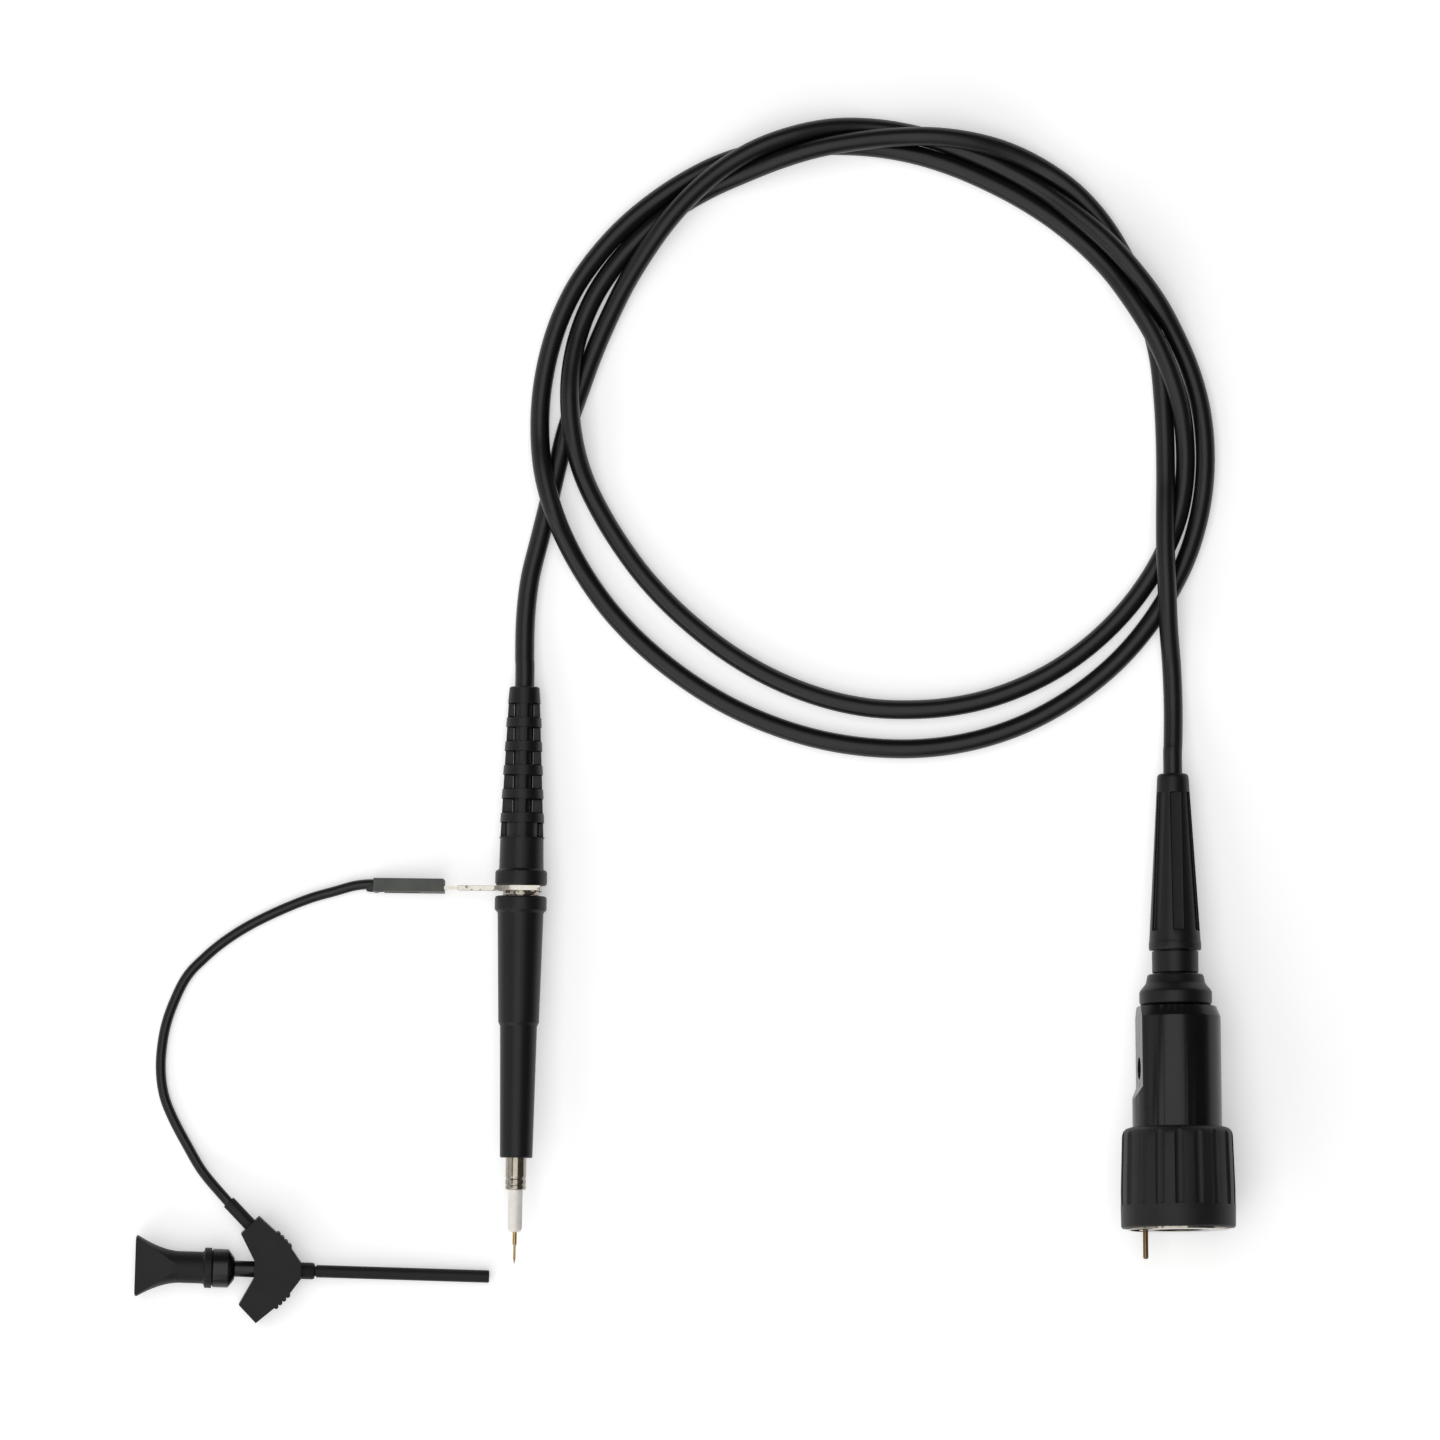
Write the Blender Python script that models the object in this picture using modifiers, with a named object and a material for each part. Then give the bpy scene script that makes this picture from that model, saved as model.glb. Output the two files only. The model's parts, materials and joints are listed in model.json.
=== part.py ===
"""A passive oscilloscope probe: head, coiled cable, ground lead with a hook clip, and bayonet connector.

Run with: blender --background --python part.py
Lengths are in metres and +Z is up. The probe lies on a table at Z = 0, under the middle of its rigid parts.
Each assembly is modelled along its own axis: its Z runs forwards, its Y points up and its X to the right.
"""

import math

import bmesh
import bpy
from mathutils import Matrix, Vector

# Gaps between pieces
SEAT_GAP = 0.0003  # between faces that meet along an axis
FIT_GAP = 0.00015  # round a piece that is pressed in, or that slides
TURN_GAP = 0.00025  # round a large piece that turns

# Facets of the turned pieces
LARGE_SIDES = 36
BOOT_SIDES = 24
SMALL_SIDES = 16
FINE_SIDES = 10

# Main cable
CABLE_RADIUS = 0.0019
CABLE_END_IN_HEAD = 0.029
CABLE_POINTS = 80

# Probe head, measured forwards from the rear end of its boot
HEAD_REAR = (-0.03143, 0.06281, 0.00303)
HEAD_HEADING = -0.98
HEAD_PITCH = 3.28
BOOT_REAR_RADIUS = 0.00296
BOOT_CAGE_RADIUS = 0.00427
BOOT_CAGE_END = 0.0299
BOOT_CONE_RADIUS = 0.00437
BOOT_SPINE_WIDTH = 0.0013
BOOT_RIM_PROUD = 0.00012
WINDOW_FIRST = 0.00335
WINDOW_PITCH = 0.00471
WINDOW_LENGTH = 0.00266
WINDOW_ROWS = 6
BOOT_CONE_END = 0.0359
FLANGE_RADIUS = 0.00512
FLANGE_ROUND = 0.00045
REAR_FLANGE_FRONT = 0.0392
FRONT_FLANGE_REAR = 0.0413
FRONT_FLANGE_LENGTH = 0.0028
FRONT_FLANGE_CHAMFER = 0.0012
BARREL_REAR_RADIUS = 0.00448
BARREL_STEP_RADIUS = 0.00401
BARREL_STEP = 0.0662
BARREL_STEP_LENGTH = 0.0008
BARREL_NOSE_REAR_RADIUS = 0.00364
BARREL_NOSE_RADIUS = 0.00321
BARREL_FRONT = 0.0928
FERRULE_REAR = 0.0267
FERRULE_RADIUS = 0.0032
SHIELD_REAR = 0.036
SHIELD_SHOULDER_RADIUS = 0.0032
SHIELD_NECK_RADIUS = 0.0027
SHIELD_STEP = 0.0893
SHIELD_BORE_RADIUS = 0.0019
SHIELD_BORE_FRONT = 0.086
SHIELD_COLLAR_RADIUS = 0.00206
SHIELD_COLLAR_BORE = 0.00155
SHIELD_FRONT = 0.0991
GROUND_RING_RADIUS = 0.0036
GROUND_RING_LENGTH = 0.0007
GROUND_RING_TEETH = 8
INSULATOR_RADIUS = 0.00141
INSULATOR_FLANGE_RADIUS = 0.00175
INSULATOR_BORE = 0.00055
INSULATOR_REAR = 0.084
INSULATOR_FRONT = 0.1074
TIP_BARREL_RADIUS = 0.00042
TIP_BARREL_WALL = 0.00011
TIP_BARREL_REAR = 0.0843
TIP_BARREL_FLOOR = 0.092
TIP_BARREL_FRONT = 0.1099
NEEDLE_RADIUS = 0.00024
NEEDLE_HEAD_REAR = 0.104
NEEDLE_FRONT = 0.1136
NEEDLE_POINT_LENGTH = 0.0009
TIP_SPRING_WIRE = 0.00005
BOARD_WIDTH = 0.0035
BOARD_THICKNESS = 0.0006
BOARD_LENGTH = 0.03
BOARD_REAR = 0.044
RESISTOR_RADIUS = 0.00085
RESISTOR_LENGTH = 0.0063
RESISTOR_LEAD_RADIUS = 0.00025

# Connector, measured forwards from the rear end of its boot
CONNECTOR_REAR = (0.09635, 0.04566, 0.004465)
CONNECTOR_HEADING = 0.52
CONNECTOR_PITCH = 5.13
CONNECTOR_ROLL = -6.0
PLUG_BOOT_REAR_RADIUS = 0.003
PLUG_BOOT_CONE_RADIUS = 0.00498
PLUG_BOOT_FRONT_RADIUS = 0.00509
PLUG_BOOT_LENGTH = 0.0348
PLUG_BOOT_CONE_END = PLUG_BOOT_LENGTH - 0.0021
PLUG_BOOT_LIP_END = PLUG_BOOT_LENGTH - 0.0012
PLUG_BOOT_ROUND = 0.0007
FLUTE_COUNT = 6
FLUTE_ARC = 30.0
FLUTE_PLACE = 86.0
FLUTE_DEPTH = 0.00045
FLUTE_REAR = 0.0037
FLUTE_FRONT = PLUG_BOOT_LENGTH - 0.0037
CABLE_END_IN_PLUG = 0.02
CRIMP_RADIUS = 0.0026
CRIMP_BORE = 0.0012
NECK_RADIUS = 0.00458
NECK_LENGTH = 0.0042
NECK_TAIL_RADIUS = 0.0036
NECK_TAIL_LENGTH = 0.0035
NECK_SPIGOT_RADIUS = 0.0034
COLLAR_STEP_RADIUS = 0.00519
COLLAR_CHAMFER_RADIUS = 0.00586
COLLAR_STEP_LENGTH = 0.0019
COLLAR_CHAMFER_LENGTH = 0.002
COLLAR_EDGE = 0.0003
COLLAR_RADIUS = 0.00712
COLLAR_LENGTH = 0.006
HOUSING_REAR = PLUG_BOOT_LENGTH + NECK_LENGTH + COLLAR_LENGTH + 3 * SEAT_GAP
CRIMP_FRONT = HOUSING_REAR + 0.0023
HOUSING_RADIUS = 0.0088
HOUSING_CHAMFER = 0.0022
HOUSING_CHAMFER_DEPTH = 0.0009
HOUSING_WALL = 0.00135
HOUSING_REAR_WALL = 0.0015
HOUSING_FRONT = HOUSING_REAR + 0.0261
FLAT_DISTANCE = HOUSING_RADIUS - 0.00138
FLAT_WALL = 0.0013
FLAT_FRONT = HOUSING_REAR + 0.0159
FLAT_RUN_OUT = 0.0024
TRIMMER_PLACE = HOUSING_REAR + 0.0122
TRIMMER_HOLE_RADIUS = 0.0022
TRIMMER_BODY_RADIUS = 0.0026
TRIMMER_BODY_HEIGHT = 0.0043
TRIMMER_SCREW_RADIUS = 0.0016
TRIMMER_SCREW_HEIGHT = 0.0013
TRIMMER_SHAFT_RADIUS = 0.00065
TRIMMER_SHAFT_LENGTH = 0.0022
TRIMMER_SLOT_WIDTH = 0.0004
TRIMMER_SLOT_DEPTH = 0.0005
PLUG_BOARD_WIDTH = 0.011
PLUG_BOARD_THICKNESS = 0.001
PLUG_BOARD_OFFSET = 0.001
PLUG_CORE_REAR = HOUSING_REAR + 0.0226
FLANGE_PLATE_RADIUS = HOUSING_RADIUS + 0.0009
FLANGE_PLATE_THICKNESS = 0.0015
JOURNAL_RADIUS = 0.0042
JOURNAL_LENGTH = 0.0034
RING_GROOVE_DEPTH = 0.0004
RING_GROOVE_PLACE = 0.0025
RING_GROOVE_LENGTH = 0.0007
FINGER_RADIUS = 0.004
FINGER_BORE = 0.0025
FINGER_FRONT = HOUSING_REAR + 0.0411
FINGER_SLOTS = 6
FINGER_SLOT_WIDTH = 0.0006
FINGER_SLOT_LENGTH = 0.008
CONTACT_PIN_RADIUS = 0.000685
CONTACT_PIN_REAR = HOUSING_REAR + 0.0196
CONTACT_PIN_FRONT = HOUSING_REAR + 0.0386
CONTACT_INSULATOR_FRONT = HOUSING_REAR + 0.0331
NUT_REAR = HOUSING_REAR + 0.0291
NUT_HUB_RADIUS = HOUSING_RADIUS - 0.0022
NUT_BORE = 0.005
NUT_LIP_BORE = 0.00445
NUT_LIP_LENGTH = 0.0011
NUT_DISC_RADIUS = HOUSING_RADIUS + 0.00105
NUT_DISC_THICKNESS = 0.0016
NUT_PROUD = 0.0004
LUG_SLOT_RADIUS = 0.00105
LUG_SLOT_DEPTH = 0.0042
LUG_SLOT_ADVANCE = 0.0024
LUG_SLOT_TURN = 90.0
RETAINING_RING_RADIUS = 0.00485
RETAINING_RING_THICKNESS = 0.0005
GASKET_RADIUS = 0.00485
GASKET_LENGTH = 0.0009
WASHER_RADIUS = 0.0062
WASHER_THICKNESS = 0.00025
WASHER_WAVE = 0.0003
KNOB_REAR = HOUSING_REAR + 0.0238
KNOB_FRONT = HOUSING_REAR + 0.0436
KNOB_SHOULDER_RADIUS = HOUSING_RADIUS + 0.00213
KNOB_SHOULDER_ROUND = 0.0016
KNOB_RADIUS = HOUSING_RADIUS + 0.00247
KNOB_BAND_LENGTH = 0.0045
KNOB_EDGE_ROUND = 0.0003
KNOB_LIP_LENGTH = 0.0019
KNOB_FLUTES = 18
KNOB_FLUTE_ROUND = 0.0012
KNOB_FLUTE_DEPTH = 0.00047
KNOB_FLUTE_PLACE = 96.5
KNOB_TURN = 90.0
READOUT_RADIUS = HOUSING_RADIUS - 0.0002
READOUT_ANGLE = 229.0
READOUT_PIN_RADIUS = 0.000535
READOUT_PIN_FRONT = HOUSING_REAR + 0.0494
READOUT_HEAD_RADIUS = 0.00064
READOUT_HEAD_REAR = HOUSING_REAR + 0.0331
READOUT_HEAD_LENGTH = 0.0015
READOUT_BARREL_RADIUS = 0.001
READOUT_BARREL_WALL = 0.0003
READOUT_SPIGOT_RADIUS = 0.0006
READOUT_SPIGOT_LENGTH = 0.0012
READOUT_BARREL_FRONT = HOUSING_REAR + 0.0401
READOUT_SPRING_WIRE = 0.0001

# Ground lead, from the fork in the groove of the head to the crimp housing
FORK_DROOP = 7.5
FORK_THICKNESS = 0.0008
FORK_REAR = 0.0394
FORK_WIDTH = 0.0088
FORK_REACH = 0.0044
FORK_ROOT_WIDTH = 0.002
FORK_ROOT_REACH = 0.0125
SQUARE_PIN_WIDTH = 0.00064
SQUARE_PIN_LENGTH = 0.0085
SOCKET_REACH = 0.0153
SOCKET_WIDTH = 0.00254
SOCKET_LENGTH = 0.014
SOCKET_WALL = 0.0003
SOCKET_FRONT_WALL = 0.0008
SOCKET_CONTACT_LENGTH = 0.006
LATCH_WINDOW_LENGTH = 0.0022
LATCH_WINDOW_WIDTH = 0.0011
WIRE_RADIUS = 0.0009
WIRE_POINTS = 44
WIRE_END_IN_SOCKET = 0.0067

# Hook clip, measured forwards from the end of its thumb cap
CLIP_REAR = (-0.10817, -0.05122, 0.00461)
CLIP_HEADING = 88.1
CLIP_PITCH = -2.45
CAP_END_RADIUS = 0.00565
CAP_FLARE_LENGTH = 0.0081
CAP_NECK_RADIUS = 0.00295
CAP_END_THICKNESS = 0.00408
CAP_END_ROUND = 0.0004
CAP_RING_REAR = 0.0133
CAP_RING_RADIUS = 0.004
CAP_FRONT = CAP_RING_REAR + 0.0013
SPIGOT_RADIUS = 0.0019
SPIGOT_LENGTH = 0.0037
COLLAR_BAND_RADIUS = 0.0037
COLLAR_BAND_FRONT = CAP_FRONT + 0.0033
COLLAR_CONE_RADIUS = 0.0019
COLLAR_CONE_FRONT = COLLAR_BAND_FRONT + 0.0016
STEM_RADIUS = 0.00161
STEM_FRONT = COLLAR_CONE_FRONT + 0.0057
BODY_THICKNESS = 0.0064
BODY_NOTCH = COLLAR_CONE_FRONT + 0.004
BODY_NOTCH_WIDTH = 0.0033
BODY_NOSE = COLLAR_CONE_FRONT + 0.01315
BODY_NOSE_WIDTH = 0.0032
BODY_SHOULDER = (0.00442, BODY_NOSE - 0.00205)
BODY_RIB_END = (0.00745, BODY_NOSE - 0.00505)
BODY_ARM_TIP = (0.01047, BODY_NOSE - 0.00855)
BODY_ARM_BACK = (0.007, BODY_NOSE - 0.012)
RIB_COUNT = 4
RIB_RADIUS = 0.00045
RIB_PITCH = 0.001065
RIB_INSET = 0.00053
BOSS_RADIUS = 0.00153
BODY_BORE_DEPTH = BODY_NOSE - 0.00145
TUBE_RADIUS = 0.00119
TUBE_BORE = 0.00075
TUBE_SPIGOT_RADIUS = 0.001
TUBE_SPIGOT_LENGTH = 0.0027
BOSS_BORE_DEPTH = BODY_BORE_DEPTH + 0.0015
BOSS_FRONT = BOSS_BORE_DEPTH + TUBE_SPIGOT_LENGTH
NOSE_BORE_RADIUS = 0.00065
TUBE_FRONT = BOSS_FRONT + 0.0344
HOOK_WIRE_RADIUS = 0.00025
HOOK_OFFSET = 0.0004
HOOK_RETURN = 0.0012
HOOK_SETBACK = 0.0006
HOOK_SEAT_DEPTH = 0.004
CLIP_SPRING_WIRE = 0.00015
CLIP_SPRING_TURNS = 5
SLEEVE_RADIUS = 0.00123
SLEEVE_END_RADIUS = 0.00115
SLEEVE_LENGTH = 0.0062
SLEEVE_DEPTH = 0.002
CLIP_CONTACT_RADIUS = 0.0006
CLIP_CONTACT_LENGTH = 0.0045

# Route of the main cable between the two boots: points on its centre line, in order, resting at its radius
# above the table and passing over itself in low humps.
CABLE_ROUTE = (
    (-0.0313, 0.0750, 0.0020),
    (-0.0302, 0.0851, 0.0019),
    (-0.0282, 0.0944, 0.0019),
    (-0.0246, 0.1060, 0.0019),
    (-0.0215, 0.1175, 0.0019),
    (-0.0194, 0.1236, 0.0019),
    (-0.0172, 0.1295, 0.0027),
    (-0.0146, 0.1351, 0.0043),
    (-0.0106, 0.1424, 0.0059),
    (-0.0055, 0.1508, 0.0065),
    (0.0000, 0.1587, 0.0070),
    (0.0065, 0.1636, 0.0079),
    (0.0128, 0.1682, 0.0076),
    (0.0205, 0.1716, 0.0054),
    (0.0268, 0.1734, 0.0031),
    (0.0343, 0.1738, 0.0019),
    (0.0426, 0.1728, 0.0019),
    (0.0533, 0.1684, 0.0019),
    (0.0586, 0.1663, 0.0019),
    (0.0666, 0.1627, 0.0019),
    (0.0714, 0.1599, 0.0024),
    (0.0753, 0.1572, 0.0038),
    (0.0790, 0.1544, 0.0054),
    (0.0827, 0.1510, 0.0062),
    (0.0901, 0.1437, 0.0064),
    (0.0946, 0.1386, 0.0058),
    (0.0982, 0.1326, 0.0036),
    (0.1012, 0.1258, 0.0019),
    (0.1026, 0.1179, 0.0019),
    (0.1029, 0.1096, 0.0019),
    (0.1019, 0.0966, 0.0019),
    (0.0983, 0.0856, 0.0019),
    (0.0929, 0.0764, 0.0019),
    (0.0847, 0.0673, 0.0019),
    (0.0710, 0.0578, 0.0019),
    (0.0575, 0.0525, 0.0019),
    (0.0426, 0.0506, 0.0019),
    (0.0304, 0.0518, 0.0019),
    (0.0168, 0.0555, 0.0019),
    (0.0059, 0.0608, 0.0019),
    (-0.0030, 0.0670, 0.0019),
    (-0.0109, 0.0739, 0.0019),
    (-0.0171, 0.0812, 0.0019),
    (-0.0215, 0.0879, 0.0025),
    (-0.0244, 0.0936, 0.0044),
    (-0.0261, 0.0981, 0.0060),
    (-0.0274, 0.1046, 0.0062),
    (-0.0284, 0.1113, 0.0050),
    (-0.0285, 0.1172, 0.0028),
    (-0.0278, 0.1234, 0.0019),
    (-0.0265, 0.1297, 0.0019),
    (-0.0232, 0.1384, 0.0019),
    (-0.0186, 0.1457, 0.0019),
    (-0.0132, 0.1522, 0.0019),
    (-0.0065, 0.1582, 0.0019),
    (-0.0001, 0.1626, 0.0019),
    (0.0065, 0.1659, 0.0019),
    (0.0140, 0.1678, 0.0019),
    (0.0209, 0.1688, 0.0019),
    (0.0304, 0.1692, 0.0019),
    (0.0454, 0.1670, 0.0019),
    (0.0531, 0.1641, 0.0019),
    (0.0608, 0.1606, 0.0019),
    (0.0687, 0.1565, 0.0019),
    (0.0764, 0.1508, 0.0026),
    (0.0808, 0.1470, 0.0046),
    (0.0845, 0.1432, 0.0060),
    (0.0899, 0.1363, 0.0063),
    (0.0932, 0.1299, 0.0062),
    (0.0960, 0.1239, 0.0048),
    (0.0981, 0.1175, 0.0026),
    (0.0988, 0.1096, 0.0019),
    (0.0975, 0.0966, 0.0019),
    (0.0937, 0.0875, 0.0019),
    (0.0887, 0.0800, 0.0019),
    (0.0811, 0.0722, 0.0019),
    (0.0710, 0.0651, 0.0019),
    (0.0575, 0.0600, 0.0019),
    (0.0440, 0.0585, 0.0019),
    (0.0304, 0.0600, 0.0019),
    (0.0168, 0.0651, 0.0019),
    (0.0101, 0.0688, 0.0019),
    (0.0032, 0.0739, 0.0019),
    (-0.0038, 0.0800, 0.0019),
    (-0.0097, 0.0866, 0.0019),
    (-0.0134, 0.0918, 0.0019),
    (-0.0168, 0.0975, 0.0027),
    (-0.0190, 0.1028, 0.0046),
    (-0.0207, 0.1075, 0.0059),
    (-0.0219, 0.1140, 0.0063),
    (-0.0223, 0.1201, 0.0059),
    (-0.0219, 0.1261, 0.0046),
    (-0.0205, 0.1326, 0.0027),
    (-0.0169, 0.1405, 0.0019),
    (-0.0118, 0.1474, 0.0019),
    (-0.0061, 0.1531, 0.0019),
    (0.0001, 0.1575, 0.0020),
    (0.0043, 0.1603, 0.0026),
    (0.0071, 0.1618, 0.0035),
    (0.0107, 0.1635, 0.0046),
    (0.0150, 0.1652, 0.0054),
    (0.0209, 0.1674, 0.0060),
    (0.0268, 0.1692, 0.0062),
    (0.0351, 0.1709, 0.0062),
    (0.0453, 0.1713, 0.0062),
    (0.0504, 0.1711, 0.0061),
    (0.0558, 0.1705, 0.0052),
    (0.0611, 0.1693, 0.0036),
    (0.0655, 0.1679, 0.0022),
    (0.0695, 0.1663, 0.0019),
    (0.0773, 0.1609, 0.0019),
    (0.0829, 0.1549, 0.0019),
    (0.0868, 0.1487, 0.0019),
    (0.0912, 0.1323, 0.0019),
    (0.0935, 0.1214, 0.0020),
    (0.0947, 0.1095, 0.0032),
    (0.0949, 0.1026, 0.0050),
    (0.0950, 0.0967, 0.0062),
    (0.0952, 0.0888, 0.0063),
    (0.0955, 0.0809, 0.0063),
    (0.0958, 0.0736, 0.0058),
    (0.0961, 0.0673, 0.0047),
    (0.0964, 0.0602, 0.0040),
    (0.0965, 0.0528, 0.0040),
)

# Route of the lead wire between the crimp housing and the clip's sleeve.
WIRE_ROUTE = (
    (-0.0614, 0.0239, 0.0014),
    (-0.0649, 0.0236, 0.0013),
    (-0.0689, 0.0225, 0.0011),
    (-0.0738, 0.0211, 0.0009),
    (-0.0798, 0.0187, 0.0009),
    (-0.0857, 0.0158, 0.0009),
    (-0.0906, 0.0127, 0.0009),
    (-0.0946, 0.0094, 0.0009),
    (-0.0981, 0.0057, 0.0009),
    (-0.1007, 0.0006, 0.0009),
    (-0.1025, -0.0049, 0.0009),
    (-0.1033, -0.0114, 0.0009),
    (-0.1028, -0.0171, 0.0009),
    (-0.1011, -0.0219, 0.0009),
    (-0.0980, -0.0278, 0.0011),
    (-0.0949, -0.0329, 0.0020),
)

COLOURS = {
    "cable_black": ((0.022, 0.023, 0.022, 1.0), 0.5, 0.0),
    "boot_black": ((0.026, 0.028, 0.026, 1.0), 0.55, 0.0),
    "gloss_black": ((0.016, 0.017, 0.016, 1.0), 0.22, 0.0),
    "knob_black": ((0.024, 0.024, 0.023, 1.0), 0.5, 0.0),
    "clip_black": ((0.026, 0.026, 0.025, 1.0), 0.55, 0.0),
    "plunger_black": ((0.016, 0.016, 0.016, 1.0), 0.3, 0.0),
    "socket_grey": ((0.075, 0.08, 0.078, 1.0), 0.5, 0.0),
    "tip_white": ((0.75, 0.69, 0.65, 1.0), 0.4, 0.0),
    "nickel": ((0.75, 0.72, 0.66, 1.0), 0.2, 1.0),
    "gold": ((0.78, 0.55, 0.22, 1.0), 0.25, 1.0),
    "spring_steel": ((0.6, 0.6, 0.6, 1.0), 0.3, 1.0),
    "board_green": ((0.03, 0.12, 0.05, 1.0), 0.5, 0.0),
    "ceramic_blue": ((0.25, 0.32, 0.4, 1.0), 0.5, 0.0),
    "contact_plastic": ((0.8, 0.8, 0.78, 1.0), 0.4, 0.0),
    "gasket_grey": ((0.12, 0.12, 0.12, 1.0), 0.7, 0.0),
}


def clear_scene():
    for old in list(bpy.data.objects):
        bpy.data.objects.remove(old, do_unlink=True)


def make_collection(name):
    collection = bpy.data.collections.new(name)
    bpy.context.scene.collection.children.link(collection)
    return collection


clear_scene()
PARTS = make_collection("oscilloscope_probe")
HELPERS = make_collection("cutters")


def material(name):
    """The named finish as a Principled BSDF, made once and then shared."""
    found = bpy.data.materials.get(name)
    if found:
        return found
    colour, roughness, metallic = COLOURS[name]
    made = bpy.data.materials.new(name)
    made.use_nodes = True
    shader = made.node_tree.nodes["Principled BSDF"]
    shader.inputs["Base Color"].default_value = colour
    shader.inputs["Roughness"].default_value = roughness
    shader.inputs["Metallic"].default_value = metallic
    made.diffuse_color = colour
    return made


def axis_frame(name, rear, heading, pitch, roll=0.0):
    """An empty at the rear of an assembly: Z forwards, Y up and X to the right, before its roll."""
    empty = bpy.data.objects.new(name, None)
    PARTS.objects.link(empty)
    empty.empty_display_size = 0.01
    empty.matrix_world = (
        Matrix.Translation(rear)
        @ Matrix.Rotation(math.radians(heading), 4, "Z")
        @ Matrix.Rotation(math.radians(90.0 - pitch), 4, "X")
        @ Matrix.Rotation(math.radians(roll), 4, "Z")
    )
    return empty


def child_frame(name, parent, matrix):
    """An empty placed in its parent's frame by a matrix."""
    empty = bpy.data.objects.new(name, None)
    PARTS.objects.link(empty)
    empty.empty_display_size = 0.005
    empty.parent = parent
    empty.matrix_local = matrix
    return empty


def finish(name, data, finish_name, parent, cutter=False):
    """Links an object made from a mesh or curve, in its parent's frame, as a piece or a hidden cutter."""
    made = bpy.data.objects.new(name, data)
    (HELPERS if cutter else PARTS).objects.link(made)
    made.parent = parent
    if cutter:
        made.hide_render = True
        made.display_type = "WIRE"
    else:
        made.data.materials.append(material(finish_name))
    return made


def turned(name, finish_name, parent, section, sides=BOOT_SIDES, cutter=False):
    """A solid turned about the parent's Z axis from the (radius, z) points round its section."""
    loop = list(section)
    turns_left = sum(a[0] * b[1] - b[0] * a[1] for a, b in zip(loop, loop[1:] + loop[:1])) > 0
    if turns_left:
        loop.reverse()
    ring = all(radius > 0 for radius, _ in loop)
    if not ring:
        # The section starts and ends on the axis, so the run between those two ends has no edge.
        first = next(i for i in range(len(loop)) if loop[i][0] == 0 and loop[i - 1][0] == 0)
        loop = loop[first:] + loop[:first]
    mesh = bpy.data.meshes.new(name)
    edges = [(i, i + 1) for i in range(len(loop) - 1)]
    if ring:
        edges.append((len(loop) - 1, 0))
    mesh.from_pydata([(radius, 0.0, z) for radius, z in loop], edges, [])
    made = finish(name, mesh, finish_name, parent, cutter)
    screw = made.modifiers.new("turn", "SCREW")
    screw.steps = sides
    screw.render_steps = sides
    screw.use_merge_vertices = True
    screw.merge_threshold = 0.000001
    screw.use_smooth_shade = False
    return made


def rounded(corner_radius, corner_z, radius, forward, steps=3):
    """Quarter round at a section's outer corner, from low z to high. forward is 1 at a front end, else -1."""
    centre_r = corner_radius - radius
    centre_z = corner_z - forward * radius
    points = []
    for step in range(steps + 1):
        angle = math.radians(90.0 * step / steps)
        points.append((centre_r + radius * math.sin(angle), centre_z + forward * radius * math.cos(angle)))
    return points[::-1] if forward > 0 else points


def block_mesh(name, boxes):
    """A mesh of separate boxes, each given by its lowest and highest corners."""
    shape = bmesh.new()
    for low, high in boxes:
        low, high = Vector(low), Vector(high)
        size = Matrix.Diagonal((*(high - low), 1.0))
        bmesh.ops.create_cube(shape, size=1.0, matrix=Matrix.Translation((low + high) / 2) @ size)
    mesh = bpy.data.meshes.new(name)
    shape.to_mesh(mesh)
    shape.free()
    return mesh


def blocks(name, finish_name, parent, boxes, cutter=False):
    return finish(name, block_mesh(name, boxes), finish_name, parent, cutter)


def rods(name, parent, places, radius, length, sides=FINE_SIDES):
    """A cutter of separate round rods. Each place is the matrix of a rod's middle, with Z along the rod."""
    shape = bmesh.new()
    for place in places:
        bmesh.ops.create_cone(
            shape,
            cap_ends=True,
            cap_tris=False,
            segments=sides,
            radius1=radius,
            radius2=radius,
            depth=length,
            matrix=place,
        )
    mesh = bpy.data.meshes.new(name)
    shape.to_mesh(mesh)
    shape.free()
    return finish(name, mesh, None, parent, cutter=True)


def sectors(name, parent, section, starts, arc, steps):
    """A cutter of closed sectors: the (radius, z) section turned through arc degrees from each start."""
    shape = bmesh.new()
    for start in starts:
        first = [shape.verts.new((radius, 0.0, z)) for radius, z in section]
        turn = Matrix.Rotation(math.radians(start), 3, "Z")
        bmesh.ops.rotate(shape, verts=first, cent=(0, 0, 0), matrix=turn)
        rings = [first]
        for step in range(1, steps + 1):
            turn = Matrix.Rotation(math.radians(start + arc * step / steps), 3, "Z")
            rings.append([shape.verts.new(turn @ Vector((radius, 0.0, z))) for radius, z in section])
        for before, after in zip(rings, rings[1:]):
            for i in range(len(section)):
                j = (i + 1) % len(section)
                shape.faces.new((before[i], before[j], after[j], after[i]))
        shape.faces.new(rings[0])
        shape.faces.new(rings[-1][::-1])
    bmesh.ops.recalc_face_normals(shape, faces=shape.faces)
    mesh = bpy.data.meshes.new(name)
    shape.to_mesh(mesh)
    shape.free()
    return finish(name, mesh, None, parent, cutter=True)


def cut(target, cutter, operation="DIFFERENCE"):
    """Adds a Boolean to a mesh piece. The cutter is closed, faces out and stays hidden."""
    boolean = target.modifiers.new(cutter.name, "BOOLEAN")
    boolean.operation = operation
    boolean.solver = "EXACT"
    boolean.object = cutter
    return target


def poly_curve(name, points, radius, sides_step):
    """A round wire through points, as a poly spline with filled ends."""
    curve = bpy.data.curves.new(name, "CURVE")
    curve.dimensions = "3D"
    curve.bevel_depth = radius
    curve.bevel_resolution = sides_step
    curve.use_fill_caps = True
    spline = curve.splines.new("POLY")
    spline.points.add(len(points) - 1)
    for point, place in zip(spline.points, points):
        point.co = (*place, 1.0)
    return curve


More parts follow.
